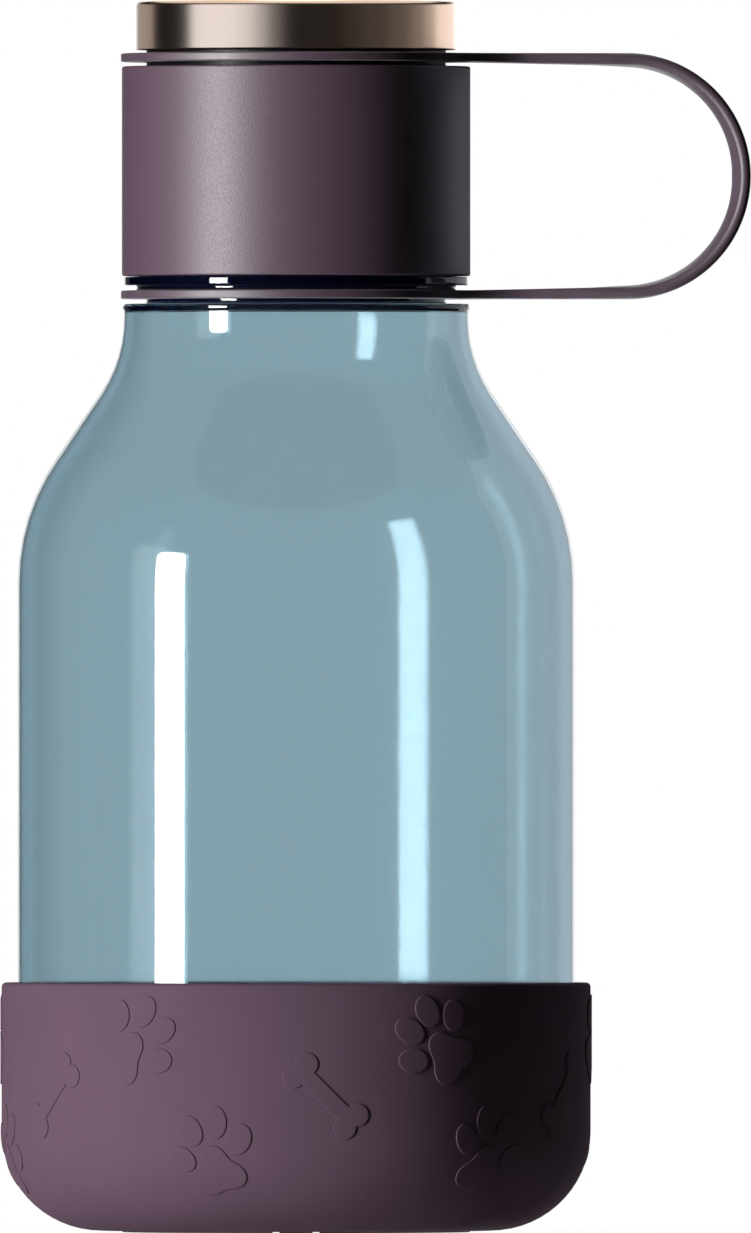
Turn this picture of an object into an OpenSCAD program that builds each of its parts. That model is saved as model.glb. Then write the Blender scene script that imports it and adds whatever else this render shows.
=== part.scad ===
// Dog travel water bottle: a clear bottle that stands in a snap-on drinking
// bowl, with a tall screw lid that a silicone carry strap ties to the neck.
// Millimetres, +Z up, origin on the bottle's axis at the surface it stands on.

/* [Bottle] */
// Outside radius of the bottle's body
body_r = 55.8; // [52:0.1:60]
// Thickness of the clear wall
bottle_wall = 2.2; // [1.6:0.1:2.6]
// Height at which the straight body turns into the shoulder
body_top_z = 130.1; // [110:0.1:160]
// Radius of the round corner at the bottle's base
base_corner_r = 17; // [12:0.5:24]
// Height of the hollow under the bottle's base
base_hollow_h = 2.6; // [1.5:0.1:4]
// Radius of the inner edge of the ring that the bottle stands on
base_ring_r = 33; // [28:0.5:34]
// Slope of the shoulder, from upright
shoulder_slope = 34.2; // [30:0.1:40]
// Radius of the round that leads from the body into the shoulder
shoulder_out_r = 44.1; // [36:0.1:50]
// Radius of the hollow that leads from the shoulder into the neck
shoulder_in_r = 26.5; // [20:0.1:30]

/* [Neck] */
// Outside radius of the neck above the shoulder
neck_r = 34.55; // [34:0.05:35]
// Height of the straight neck between the shoulder and the bead
neck_h = 1.3; // [1:0.1:6]
// Height of the bead under the lower groove
bead_h = 1.5; // [1.2:0.1:3]
// How far the bead stands out from the neck
bead_proud = 0.25; // [0.1:0.05:0.5]
// Free height left in the lower groove, below the strap's ring
groove_room = 1.0; // [0.6:0.1:2]
// Radius of the step above the lower groove
step_r = 32; // [31.6:0.1:33]
// Height of the step above the lower groove
step_h = 1.0; // [0.8:0.1:2]
// How far the flange under the lid stands back from the sleeve
flange_inset = 0.45; // [0.1:0.05:1.2]
// Height of the flange under the lid
flange_h = 1.7; // [1.2:0.1:3]
// Radius of the mouth's bore
mouth_r = 27; // [25.5:0.1:27]
// Wall of the mouth, without its thread
mouth_wall = 2.2; // [1.8:0.1:2.3]
// Height of the mouth above the flange
mouth_h = 16; // [15:0.5:18]

/* [Thread] */
// Rise of the thread in one full turn
thread_lead = 8; // [7.6:0.1:8.4]
// Number of thread starts
thread_starts = 2; // [2:1:2]
// Depth of each thread ridge
thread_depth = 1.5; // [1.2:0.1:1.6]
// How far round the neck each thread ridge runs, in degrees
thread_span = 270; // [180:30:300]
// Half height of a ridge at its root
thread_root_half = 1.2; // [1:0.05:1.25]
// Half height of a ridge at its crest
thread_crest_half = 0.65; // [0.4:0.05:0.7]
// Height of the first ridge's middle above the flange
thread_start_h = 4.2; // [4:0.1:5]
// Free space between a crest and the wall it faces
thread_clear = 0.6; // [0.5:0.05:0.7]

/* [Lid] */
// Outside radius of the lid's sleeve
sleeve_r = 34.9; // [34.6:0.05:35.1]
// Height of the lid's sleeve
sleeve_h = 42; // [38:0.5:50]
// Wall of the lid's sleeve
sleeve_wall = 1.2; // [0.8:0.05:1.3]
// Thickness of the sleeve's turned-in top
sleeve_top_t = 1.5; // [1:0.1:2]
// Bevel on the sleeve's top and bottom edges
sleeve_bevel = 0.35; // [0.2:0.05:0.5]
// Gap between the closed lid and the flange
sleeve_gap = 0.2; // [0.1:0.05:0.4]
// Thickness of the cap's deck and of its ledge
cap_deck_t = 2.5; // [2:0.1:3.5]
// Radius of the opening in the cap's ledge
ledge_bore_r = 20; // [16:0.5:23]
// Thickness of the gasket on the mouth
gasket_t = 1.5; // [1:0.1:2]
// Thickness of the stopper's flange
plug_flange_t = 2; // [1.5:0.1:3]
// Wall of the stopper
plug_wall = 1.8; // [1.4:0.1:2.4]
// Thickness of the stopper's bottom
plug_floor_t = 2.2; // [1.6:0.1:3]
// How far the stopper reaches below the mouth's rim
plug_depth = 22.3; // [20:0.1:22.5]
// Free space between the stopper and the bore
plug_clear = 0.5; // [0.4:0.05:0.6]
// Height of the seal ring round the stopper
seal_h = 2.4; // [1.6:0.1:3.2]
// Depth of the seal's groove in the stopper
seal_groove = 0.8; // [0.5:0.1:1]
// How far below the mouth's rim the seal sits
seal_drop = 9; // [6:0.5:12]

/* [Top disc] */
// Radius of the groove between the lid and the top disc
top_groove_r = 30; // [29.6:0.1:30.2]
// Height of the groove between the lid and the top disc
top_groove_h = 3.3; // [2.9:0.1:4]
// Outside radius of the top disc
disc_r = 32; // [31.4:0.1:34]
// Height of the top disc
disc_h = 9.8; // [7:0.1:14]
// Round on the top disc's upper edge
disc_edge_r = 1.0; // [0.5:0.1:1.1]
// Wall of the metal top disc
disc_wall = 1.2; // [1.2:0.1:1.6]
// Radius of the stem that holds the top disc in the cap
stem_r = 12; // [8:0.5:15]
// Length of the stem below the groove
stem_h = 6; // [4:0.5:8]

/* [Strap] */
// Thickness of the strap's rings
strap_t = 1.7; // [1.5:0.1:1.9]
// How far the strap's rings stand out past the lid's sleeve
ring_proud = 0.2; // [0.1:0.05:1]
// Width of the strap's band
strap_w = 18; // [14:0.5:22]
// Round between a ring and the band
strap_fillet_r = 20; // [14:0.5:26]
// Distance from the axis to the centre of the loop's bend
loop_centre_x = 66.2; // [60:0.1:80]
// Thickness of the band where its bend begins
loop_side_t = 2.9; // [2.4:0.1:3.2]
// Thickness of the band at the far end of the loop
loop_apex_t = 3.6; // [3.2:0.1:5]
// Distance from the axis to where the rings' tabs meet the loop
loop_joint_x = 60; // [54:0.5:60]

/* [Bowl] */
// Height of the bowl's rim above the surface it stands on
bowl_h = 50; // [42:0.5:60]
// Wall of the bowl
bowl_wall = 2.9; // [2:0.1:4]
// Thickness of the bowl's floor
bowl_floor_t = 2.7; // [2:0.1:4]
// Round on the bowl's rim
bowl_rim_r = 0.9; // [0.4:0.1:0.9]
// Radius of the non-slip pad under the bowl
foot_r = 34.8; // [28:0.1:36]
// Depth of the pad inside the bowl's recess
foot_seat = 0.9; // [0.6:0.1:1.2]
// How far the pad stands below the bowl
foot_proud = 0.3; // [0.2:0.05:0.8]
// Width of the two channels across the pad
foot_channel_w = 1.4; // [1:0.1:3]
// Distance of the channels from the middle
foot_channel_x = 4; // [2:0.1:8]

/* [Bowl relief] */
// How far the paw prints and bones stand out from the bowl
relief_h = 0.25; // [0.1:0.05:0.6]
// Scale of the paw prints and bones
relief_size = 1; // [0.8:0.05:1.05]
// Repeats of the pattern round the bowl
relief_repeats = 3; // [3:1:3]
// Height of the upper paw prints' pads
high_paw_z = 35.4; // [33:0.1:36]
// Height of the lower paw prints' pads
low_paw_z = 12.2; // [11:0.1:13]
// Height of the bones' middles
bone_z = 27.6; // [26:0.1:29]
// Length of a bone between its knobs' middles
bone_len = 14.4; // [12:0.1:16]
// Width of a bone's shaft
bone_shaft_w = 3.4; // [3:0.1:4.2]
// Radius of a bone's knobs
bone_knob_r = 2.3; // [2:0.1:2.6]
// Distance of a knob's middle from the bone's middle line
bone_knob_x = 1.8; // [1.5:0.1:2]

/* [Fits] */
// Gap between the bottle and the bowl
bowl_fit = 0.3; // [0.3:0.05:0.6]
// Gap between the strap's rings and the grooves
ring_fit = 0.3; // [0.2:0.05:0.4]
// Gap of a glued or snapped joint
glue_fit = 0.05; // [0.03:0.01:0.08]
// Gap between the seal and the bore
seal_fit = 0.05; // [0.02:0.01:0.1]

/* [Hidden] */
$fn = 96;
eps = 0.01;
arc_steps = 10;

// heights, from the surface upwards
base_z = foot_proud + bowl_floor_t;
out_centre = [body_r - shoulder_out_r, body_top_z];
slope_run = body_r - neck_r - (shoulder_out_r + shoulder_in_r) * (1 - cos(shoulder_slope));
shoulder_h = (shoulder_out_r + shoulder_in_r) * sin(shoulder_slope)
           + slope_run / tan(shoulder_slope);
neck_z = body_top_z + shoulder_h;
in_centre = [neck_r + shoulder_in_r, neck_z];
bead_z = neck_z + neck_h;
groove_z = bead_z + bead_h;
lower_ring_z = groove_z + groove_room;
step_z = lower_ring_z + strap_t;
flange_z = step_z + step_h;
flange_top_z = flange_z + flange_h;
mouth_z = flange_top_z + mouth_h;
sleeve_z = flange_top_z + sleeve_gap;
top_groove_z = sleeve_z + sleeve_h;
disc_z = top_groove_z + top_groove_h;
plug_flange_z = mouth_z + gasket_t;
ledge_z = plug_flange_z + plug_flange_t;
plug_z = mouth_z - plug_depth;
seal_z = mouth_z - seal_drop;
upper_ring_z = top_groove_z + (top_groove_h - strap_t) / 2 + 0.1;

// radii
strap_ring_r = sleeve_r + ring_proud;
flange_r = sleeve_r - flange_inset;
groove_r = top_groove_r;
ring_bore_r = groove_r + ring_fit;
finish_r = mouth_r + mouth_wall;
crest_r = finish_r + thread_depth;
cap_bore_r = crest_r + thread_clear;
cap_r = sleeve_r - sleeve_wall - glue_fit;
plug_r = mouth_r - plug_clear;
plug_flange_r = cap_bore_r - glue_fit;
bowl_in_r = body_r + bowl_fit;
bowl_r = bowl_in_r + bowl_wall;
bowl_in_corner_r = base_corner_r;
core_r = disc_r - disc_wall - glue_fit;
thread_pitch = thread_lead / thread_starts;

// thread ridges: degrees a section, sections in a run-out, depth inside the wall
thread_step = 10;
thread_count = thread_span / thread_step;
runout_steps = 3;
thread_bury = 0.6;

// how far the strap's rounds bite into the ring, to meet it cleanly
fillet_bite = 0.03;

// strap loop, in the plane y = 0
loop_out_r = (upper_ring_z + strap_t - lower_ring_z) / 2;
loop_mid_z = lower_ring_z + loop_out_r;
loop_in_r = loop_out_r - loop_side_t;
loop_in_x = loop_centre_x + loop_out_r - loop_apex_t - loop_in_r;
band_taper = (loop_side_t - strap_t) / (loop_in_x - strap_ring_r);
joint_t = strap_t + band_taper * (loop_joint_x - strap_ring_r);

// motifs in one repeat of the relief: angle from the front, height, and lean from
// upright, positive to the left
repeat_angle = 360 / relief_repeats;
paws = [[-35.8, high_paw_z, -45], [31.4, high_paw_z, 45],
        [-14.1, low_paw_z, 33], [38.9, low_paw_z, -33]];
bones = [[-55.4, bone_z, -45], [5.8, bone_z, 45]];

// paw print: the pad's middle radius and how far its three lobes swell it, the
// toes' half width, and [side, height, half length, splay] of the two toes of a half
pad_r = 4.9;
pad_lobe = 0.75;
toe_half_w = 2.5;
toes = [[2.75, 10, 3.35, 15], [6.4, 5.2, 3.2, 42]];

// points of an arc about c, from angle a to angle b
function arc(c, r, a, b, n = arc_steps) =
    [for (i = [0:n]) c + r * [cos(a + (b - a) * i / n), sin(a + (b - a) * i / n)]];

// the bottle's side from the neck down to its foot, moved inwards by inset
function bottle_side(inset) = concat(
    [[neck_r - inset, neck_z]],
    arc(in_centre, shoulder_in_r + inset, 180, 180 + shoulder_slope),
    arc(out_centre, shoulder_out_r - inset, shoulder_slope, 0),
    arc([body_r - base_corner_r, base_z + base_corner_r], base_corner_r - inset, 0, -90));

function reversed(list) = [for (i = [len(list) - 1:-1:0]) list[i]];

// one tube, turned about the axis
module tube(r_out, r_in, h) {
    difference() {
        cylinder(r = r_out, h = h);
        translate([0, 0, -eps]) cylinder(r = r_in, h = h + 2 * eps);
    }
}

// One thread ridge: a trapezoid swept up the helix, run out at both ends.
// It grows from root_r to crest_r, and buried_r is its edge inside the wall.
function ridge_section(i, buried_r, root_r, crest_r) =
    let (t = min(1, i / runout_steps, (thread_count - i) / runout_steps),
         a = i * thread_step,
         z = thread_lead * a / 360,
         tip_r = root_r + (crest_r - root_r) * (0.12 + 0.88 * t),
         tip_half = thread_root_half + (thread_crest_half - thread_root_half) * t)
    [for (p = [[buried_r, -thread_root_half], [tip_r, -tip_half],
               [tip_r, tip_half], [buried_r, thread_root_half]])
        [p[0] * cos(a), p[0] * sin(a), z + p[1]]];

module thread_ridge(buried_r, root_r, crest_r) {
    points = [for (i = [0:thread_count]) each ridge_section(i, buried_r, root_r, crest_r)];
    last = 4 * thread_count;
    sides = [for (i = [0:thread_count - 1], k = [0:3])
                let (a = 4 * i + k, b = 4 * i + (k + 1) % 4)
                each [[a, b + 4, b], [a, a + 4, b + 4]]];
    ends = [[0, 1, 2], [0, 2, 3], [last, last + 2, last + 1], [last, last + 3, last + 2]];
    faces = [for (f = concat(sides, ends)) crest_r > buried_r ? reversed(f) : f];
    polyhedron(points = points, faces = faces);
}

module thread(buried_r, root_r, crest_r, z) {
    for (s = [0:thread_starts - 1])
        translate([0, 0, z]) rotate([0, 0, s * 360 / thread_starts])
            thread_ridge(buried_r, root_r, crest_r);
}

// ---- bowl ----

module bowl_foot() {
    color([0.13, 0.11, 0.13])
    difference() {
        cylinder(r = foot_r, h = foot_proud + foot_seat);
        for (x = [-foot_channel_x, foot_channel_x])
            translate([x - foot_channel_w / 2, -foot_r - 1, -eps])
                cube([foot_channel_w, 2 * foot_r + 2, foot_proud + eps]);
    }
}

module bowl_profile() {
    corner_r = bowl_in_corner_r + bowl_wall;
    rim = bowl_rim_r;
    polygon(concat(
        [[0, foot_proud]],
        arc([bowl_r - corner_r, foot_proud + corner_r], corner_r, -90, 0),
        arc([bowl_r - rim, bowl_h - rim], rim, 0, 90, 4),
        arc([bowl_in_r + rim, bowl_h - rim], rim, 90, 180, 4),
        arc([bowl_in_r - bowl_in_corner_r, base_z + bowl_in_corner_r],
            bowl_in_corner_r, 0, -90),
        [[0, base_z]]));
}

// an oval of 12 points, turned by tilt
module oval(half_w, half_h, tilt) {
    rotate(tilt) polygon([for (a = [0:30:330]) [half_w * cos(a), half_h * sin(a)]]);
}

module paw_print() {
    polygon([for (a = [0:20:340])
        (pad_r + pad_lobe * cos(3 * (a - 90))) * [cos(a), sin(a)]]);
    for (t = toes, s = [-1, 1])
        translate([s * t[0], t[1]]) oval(toe_half_w, t[2], -s * t[3]);
}

module bone() {
    square([bone_shaft_w, bone_len], center = true);
    for (end = [-1, 1], side = [-1, 1])
        translate([side * bone_knob_x, end * bone_len / 2]) circle(r = bone_knob_r);
}

// a flat motif pushed out through the bowl's wall at an angle from the front
module stamp(place) {
    rotate([0, 0, place[0]]) translate([0, -bowl_in_r * 0.7, place[1]])
        rotate([90, 0, 0]) linear_extrude(bowl_r)
            rotate(place[2]) scale(relief_size) children();
}

// the bowl's outer surface moved out by the relief's height, as a solid of turning
module relief_skin() {
    corner_r = bowl_in_corner_r + bowl_wall;
    rotate_extrude()
        polygon(concat(
            arc([bowl_r - corner_r, foot_proud + corner_r], corner_r + relief_h, -60, 0, 5),
            [[bowl_r + relief_h, bowl_h - 1], [bowl_r - bowl_wall / 2, bowl_h - 1]],
            arc([bowl_r - corner_r, foot_proud + corner_r], corner_r - bowl_wall / 2, 0, -60, 5)));
}

module relief() {
    intersection() {
        relief_skin();
        for (i = [0:relief_repeats - 1]) rotate([0, 0, i * repeat_angle]) {
            for (p = paws) stamp(p) paw_print();
            for (b = bones) stamp(b) bone();
        }
    }
}

module dog_bowl() {
    color([0.38, 0.31, 0.37])
    difference() {
        union() {
            rotate_extrude() bowl_profile();
            relief();
        }
        translate([0, 0, foot_proud - eps]) cylinder(r = foot_r + glue_fit, h = foot_seat + eps);
    }
}

// ---- bottle ----

module bottle_profile() {
    hollow_edge_r = base_ring_r - base_hollow_h;
    bore_foot_z = neck_z - bottle_wall * tan(shoulder_slope / 2);
    polygon(concat(
        [[0, base_z + base_hollow_h], [hollow_edge_r, base_z + base_hollow_h],
         [base_ring_r, base_z]],
        reversed(bottle_side(0)),
        [[neck_r, bead_z], [neck_r + bead_proud, bead_z + bead_h / 3],
         [neck_r + bead_proud, groove_z - bead_h / 3], [neck_r, groove_z],
         [groove_r, groove_z], [groove_r, step_z], [step_r, step_z], [step_r, flange_z],
         [flange_r, flange_z], [flange_r, flange_top_z], [finish_r, flange_top_z],
         [finish_r, mouth_z], [mouth_r, mouth_z], [mouth_r, groove_z]],
        bottle_side(bottle_wall),
        [[base_ring_r + bottle_wall / 2, base_z + bottle_wall],
         [hollow_edge_r + bottle_wall / 2, base_z + base_hollow_h + bottle_wall],
         [0, base_z + base_hollow_h + bottle_wall]]));
}

module bottle_shell() {
    color([0.62, 0.72, 0.75, 0.45]) {
        rotate_extrude() bottle_profile();
        thread(finish_r - thread_bury, finish_r, crest_r, flange_top_z + thread_start_h);
    }
}

// ---- strap ----

// the band and the rounds that join it to a ring, seen from above
module band_plan() {
    centre_r = strap_ring_r + strap_fillet_r - fillet_bite;
    centre_y = strap_w / 2 + strap_fillet_r;
    centre_x = sqrt(centre_r * centre_r - centre_y * centre_y);
    side = arc([centre_x, centre_y], strap_fillet_r, 180 + atan2(centre_y, centre_x), 270);
    far_side = [for (p = reversed(side)) [p[0], -p[1]]];
    polygon(concat([[0, 0]], side, [[loop_joint_x, strap_w / 2],
                   [loop_joint_x, -strap_w / 2]], far_side));
}

// the band from the side: its thickness grows from the ring to the loop
module band_side() {
    polygon([[0, 0], [strap_ring_r, 0], [loop_joint_x, strap_t - joint_t],
             [loop_joint_x, strap_t], [0, strap_t]]);
}

// the upper ring and its band, with the ring's underside at z = 0
module strap_ring() {
    difference() {
        union() {
            cylinder(r = strap_ring_r, h = strap_t);
            intersection() {
                translate([0, 0, strap_t - joint_t]) linear_extrude(joint_t) band_plan();
                translate([0, strap_ring_r, 0]) rotate([90, 0, 0])
                    linear_extrude(2 * strap_ring_r) band_side();
            }
        }
        translate([0, 0, -eps]) cylinder(r = ring_bore_r, h = strap_t + 2 * eps);
    }
}

module strap_upper_ring() {
    color([0.29, 0.23, 0.29]) translate([0, 0, upper_ring_z]) strap_ring();
}

module strap_lower_ring() {
    color([0.29, 0.23, 0.29])
        translate([0, 0, lower_ring_z + strap_t]) mirror([0, 0, 1]) strap_ring();
}

module loop_outline() {
    difference() {
        union() {
            translate([loop_centre_x, 0]) circle(r = loop_out_r);
            translate([loop_joint_x, -loop_out_r])
                square([loop_centre_x - loop_joint_x, 2 * loop_out_r]);
        }
        translate([loop_in_x, 0]) circle(r = loop_in_r);
        polygon([[loop_joint_x - 1, -loop_out_r + joint_t - band_taper],
                 [loop_joint_x - 1, loop_out_r - joint_t + band_taper],
                 [loop_in_x, loop_in_r], [loop_in_x, -loop_in_r]]);
        translate([loop_joint_x - 2 * loop_out_r, -loop_out_r - 1])
            square([2 * loop_out_r, 2 * loop_out_r + 2]);
    }
}

module strap_loop() {
    color([0.29, 0.23, 0.29])
    translate([0, strap_w / 2, loop_mid_z]) rotate([90, 0, 0])
        linear_extrude(strap_w) loop_outline();
}

// ---- lid ----

module cap_profile() {
    deck_z = top_groove_z - sleeve_top_t;
    polygon([[cap_r, sleeve_z + sleeve_bevel], [cap_r, deck_z], [top_groove_r, deck_z],
             [top_groove_r, disc_z], [stem_r + glue_fit, disc_z],
             [stem_r + glue_fit, disc_z - cap_deck_t - sleeve_top_t],
             [cap_bore_r, disc_z - cap_deck_t - top_groove_h],
             [cap_bore_r, ledge_z + cap_deck_t], [ledge_bore_r, ledge_z + cap_deck_t],
             [ledge_bore_r, ledge_z], [cap_bore_r, ledge_z],
             [cap_bore_r, sleeve_z + sleeve_bevel]]);
}

module thread_cap() {
    color([0.16, 0.14, 0.17]) {
        rotate_extrude() cap_profile();
        thread(cap_bore_r + thread_bury, cap_bore_r, cap_bore_r - thread_depth,
               flange_top_z + thread_start_h + thread_pitch / 2);
    }
}

module lid_sleeve() {
    r = sleeve_r;
    color([0.36, 0.29, 0.34])
    translate([0, 0, sleeve_z]) rotate_extrude()
        polygon([[r - sleeve_wall, 0], [r - sleeve_bevel, 0], [r, sleeve_bevel],
                 [r, sleeve_h - sleeve_bevel], [r - sleeve_bevel, sleeve_h],
                 [top_groove_r + glue_fit, sleeve_h],
                 [top_groove_r + glue_fit, sleeve_h - sleeve_top_t],
                 [r - sleeve_wall, sleeve_h - sleeve_top_t]]);
}

module lid_plug() {
    color([0.05, 0.05, 0.09])
    difference() {
        union() {
            translate([0, 0, plug_z]) cylinder(r = plug_r, h = plug_depth + gasket_t + eps);
            translate([0, 0, plug_flange_z]) cylinder(r = plug_flange_r, h = plug_flange_t);
        }
        translate([0, 0, plug_z + plug_floor_t])
            cylinder(r = plug_r - plug_wall, h = plug_depth + gasket_t + plug_flange_t);
        translate([0, 0, seal_z]) tube(plug_r + 1, plug_r - seal_groove, seal_h);
    }
}

module plug_seal() {
    color([0.1, 0.1, 0.12])
    translate([0, 0, seal_z])
        tube(mouth_r - seal_fit, plug_r - seal_groove, seal_h);
}

module mouth_gasket() {
    color([0.12, 0.12, 0.14])
    translate([0, 0, mouth_z]) tube(plug_flange_r - glue_fit, plug_r + glue_fit, gasket_t);
}

module disc_core() {
    color([0.15, 0.14, 0.15]) {
        translate([0, 0, disc_z]) cylinder(r = core_r, h = disc_h - disc_wall);
        translate([0, 0, disc_z - stem_h]) cylinder(r = stem_r, h = stem_h + eps);
    }
}

module top_disc() {
    color([0.80, 0.76, 0.72])
    translate([0, 0, disc_z]) rotate_extrude()
        polygon(concat(
            [[disc_r - disc_wall, 0], [disc_r, 0]],
            arc([disc_r - disc_edge_r, disc_h - disc_edge_r], disc_edge_r, 0, 90, 6),
            [[0, disc_h], [0, disc_h - disc_wall], [disc_r - disc_wall, disc_h - disc_wall]]));
}

bowl_foot();
dog_bowl();
bottle_shell();
strap_lower_ring();
strap_loop();
strap_upper_ring();
thread_cap();
lid_sleeve();
lid_plug();
plug_seal();
mouth_gasket();
disc_core();
top_disc();
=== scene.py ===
"""A dog travel water bottle that stands in its drinking bowl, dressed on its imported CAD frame.

The clear bottle, the bowl with its raised paw prints and bones, the silicone strap, the
lid and its stopper are modelled here in the frame's own place and size.
"""
import math
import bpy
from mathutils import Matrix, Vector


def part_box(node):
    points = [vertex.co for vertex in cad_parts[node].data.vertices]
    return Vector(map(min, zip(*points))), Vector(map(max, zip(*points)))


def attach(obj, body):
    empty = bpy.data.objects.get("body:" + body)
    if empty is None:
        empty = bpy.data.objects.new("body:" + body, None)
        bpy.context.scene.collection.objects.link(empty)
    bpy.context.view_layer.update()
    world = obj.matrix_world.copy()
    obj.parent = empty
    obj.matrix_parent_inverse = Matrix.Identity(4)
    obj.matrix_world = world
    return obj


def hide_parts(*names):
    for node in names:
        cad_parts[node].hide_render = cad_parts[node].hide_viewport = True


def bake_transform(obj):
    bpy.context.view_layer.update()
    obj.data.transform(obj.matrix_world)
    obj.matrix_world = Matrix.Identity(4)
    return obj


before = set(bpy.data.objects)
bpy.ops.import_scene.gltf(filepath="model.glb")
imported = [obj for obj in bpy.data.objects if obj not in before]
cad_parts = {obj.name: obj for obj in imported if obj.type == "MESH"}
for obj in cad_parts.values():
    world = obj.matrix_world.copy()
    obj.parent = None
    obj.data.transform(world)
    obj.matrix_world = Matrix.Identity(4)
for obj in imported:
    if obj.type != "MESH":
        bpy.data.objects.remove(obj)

from types import SimpleNamespace

import bmesh
import bpy
from mathutils import Matrix, Vector

bl_info = {
    "name": "Dog travel water bottle",
    "version": (1, 0, 0),
    "blender": (4, 5, 0),
    "location": "View3D > Sidebar > Bottle",
    "description": "Models a clear travel bottle with its dog bowl, lid and carry strap",
    "category": "Add Mesh",
}

# Metres in a millimetre, and the longest length that a setting takes
MM = 0.001
LONGEST = 0.4

# Meshes: sides of a turned piece, degrees a step in an arc and in a small one, how close a
# side's held vertices stand to its ends, and the edge that stays sharp. Up to the studio,
# all sizes are in millimetres, and heights are from the bottom of the bowl's pad
TURN_SIDES = 192
ARC_STEP = 6.0
SMALL_ROUND = 2.0
SMALL_ARC_STEP = 18.0
HOLD = 0.25
MERGE = 1e-4
SHARP_ANGLE = math.radians(40)

# Sizes that more than one piece takes
SLIP = 0.05
BOWL_R = 59.0
BASE_Z = 3.0
MOUTH_H = 16.0
THREAD_STARTS = 2
THREAD_FIRST = 4.2

WHITE = (1.0, 1.0, 1.0, 1.0)


def srgb(red, green, blue):
    """A colour from a screen's 0 to 255 values, in Blender's linear light."""
    def linear(level):
        level /= 255
        return level / 12.92 if level <= 0.04045 else ((level + 0.055) / 1.055) ** 2.4

    return (linear(red), linear(green), linear(blue), 1.0)


def length(name, description, default):
    """A length property in metres, given in millimetres."""
    return bpy.props.FloatProperty(
        name=name, description=description, default=default * MM,
        min=0.0, max=LONGEST, unit="LENGTH", precision=5)


def brightness(name, description, default):
    """A light's brightness."""
    return bpy.props.FloatProperty(
        name=name, description=description, default=default, min=0.0)


def colour(name, description, default):
    """A colour property."""
    return bpy.props.FloatVectorProperty(
        name=name, description=description, default=default,
        size=4, min=0.0, max=1.0, subtype="COLOR")


def frame_sizes():
    """The radii and levels of the CAD nodes that the pieces are built on, in millimetres."""
    def reach(node):
        low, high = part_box(node)
        return SimpleNamespace(r=high.x / MM, low=low.z / MM, high=high.z / MM)

    return SimpleNamespace(
        bowl=reach("dog_bowl"), bottle=reach("bottle_shell"), sleeve=reach("lid_sleeve"),
        cap=reach("thread_cap"), plug=reach("lid_plug"), seal=reach("plug_seal"),
        gasket=reach("mouth_gasket"), disc=reach("top_disc"), core=reach("disc_core"),
        lower_ring=reach("strap_lower_ring"), upper_ring=reach("strap_upper_ring"),
        foot=reach("bowl_foot"))


AT = frame_sizes()


class BottleSizes(bpy.types.PropertyGroup):
    """Sizes of the clear bottle."""

    wall: length("Wall", "Thickness of the clear wall", 2.2)
    shoulder_out: length("Upper body round", "Round from the body into the shoulder", 44.1)
    shoulder_in: length("Shoulder hollow", "Hollow from the shoulder into the neck", 26.5)
    base_round: length("Base round", "Round corner at the base", 17.0)
    neck_radius: length("Neck radius", "Outside radius of the neck", 34.55)
    flange_radius: length("Flange radius", "Outside radius of the flange", 34.45)
    mouth_radius: length("Mouth radius", "Radius of the mouth's bore", 27.0)
    thread_depth: length("Thread depth", "How far the thread stands out", 1.5)
    thread_lead: length("Thread lead", "Rise of the thread in one turn", 8.0)


class BowlSizes(bpy.types.PropertyGroup):
    """Sizes of the drinking bowl and its relief."""

    wall: length("Wall", "Thickness of the bowl's wall", 2.9)
    base_round: length("Base round", "Round corner under the bowl", 19.9)
    rim_round: length("Rim round", "Round on the rim", 0.9)
    relief_height: length("Relief height", "How far the motifs stand out", 0.25)
    relief_edge: length("Relief edge", "Round on the motifs' edges", 0.08)


class StrapSizes(bpy.types.PropertyGroup):
    """Sizes of the silicone strap."""

    width: length("Band width", "Width of the loop's band", 18.0)
    ring_bore: length("Ring bore", "Radius of the rings' opening", 30.3)
    ring_thickness: length("Ring thickness", "Thickness of the rings", 1.7)
    fillet: length("Band fillet", "Round between a ring and the band", 20.0)
    bend_x: length("Bend centre", "Distance from the axis to the bend's centre", 66.4)
    edge_round: length("Edge round", "Round on the strap's edges", 0.3)
    apex_crown: length("Grip crown", "Swell of the band's inner face at the grip", 1.6)


class LidSizes(bpy.types.PropertyGroup):
    """Sizes of the lid, its stopper and its top disc."""

    sleeve_wall: length("Sleeve wall", "Thickness of the satin sleeve", 1.2)
    sleeve_round: length("Sleeve round", "Round on the sleeve's edges", 0.4)
    cap_bore: length("Cap bore", "Radius of the threaded bore", 31.3)
    ledge_bore: length("Ledge bore", "Radius of the opening in the ledge", 20.0)
    groove_radius: length("Groove radius", "Radius of the upper groove", 30.0)
    plug_wall: length("Stopper wall", "Wall of the stopper", 1.8)
    disc_wall: length("Disc wall", "Thickness of the metal disc", 1.2)
    disc_round: length("Disc round", "Round on the disc's upper edge", 1.0)


class Colours(bpy.types.PropertyGroup):
    """Colours of the finishes."""

    clear: colour("Clear plastic", "Tint of the clear bottle", (0.235, 0.365, 0.425, 1.0))
    # Painted light: a lighter, bluer tint that the clear wall takes along its edge
    clear_edge: colour("Clear edge", "Tint of the clear wall seen edge-on", (0.3, 0.52, 0.64, 1.0))
    bowl: colour("Bowl plastic", "Plum grey of the bowl", srgb(113, 90, 107))
    silicone: colour("Silicone", "Plum grey of the strap", srgb(96, 72, 90))
    sleeve: colour("Sleeve", "Satin plum grey of the lid", srgb(106, 82, 99))
    disc: colour("Top disc", "Pale metal of the top disc", srgb(226, 196, 174))
    cap: colour("Inner cap", "Dark plastic inside the lid", srgb(30, 27, 33))
    plug: colour("Stopper", "Navy black of the stopper", srgb(8, 9, 34))
    seal: colour("Seals", "Rubber of the seal and gasket", srgb(62, 58, 66))
    foot: colour("Bowl pad", "Rubber of the pad under the bowl", srgb(52, 46, 51))


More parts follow.
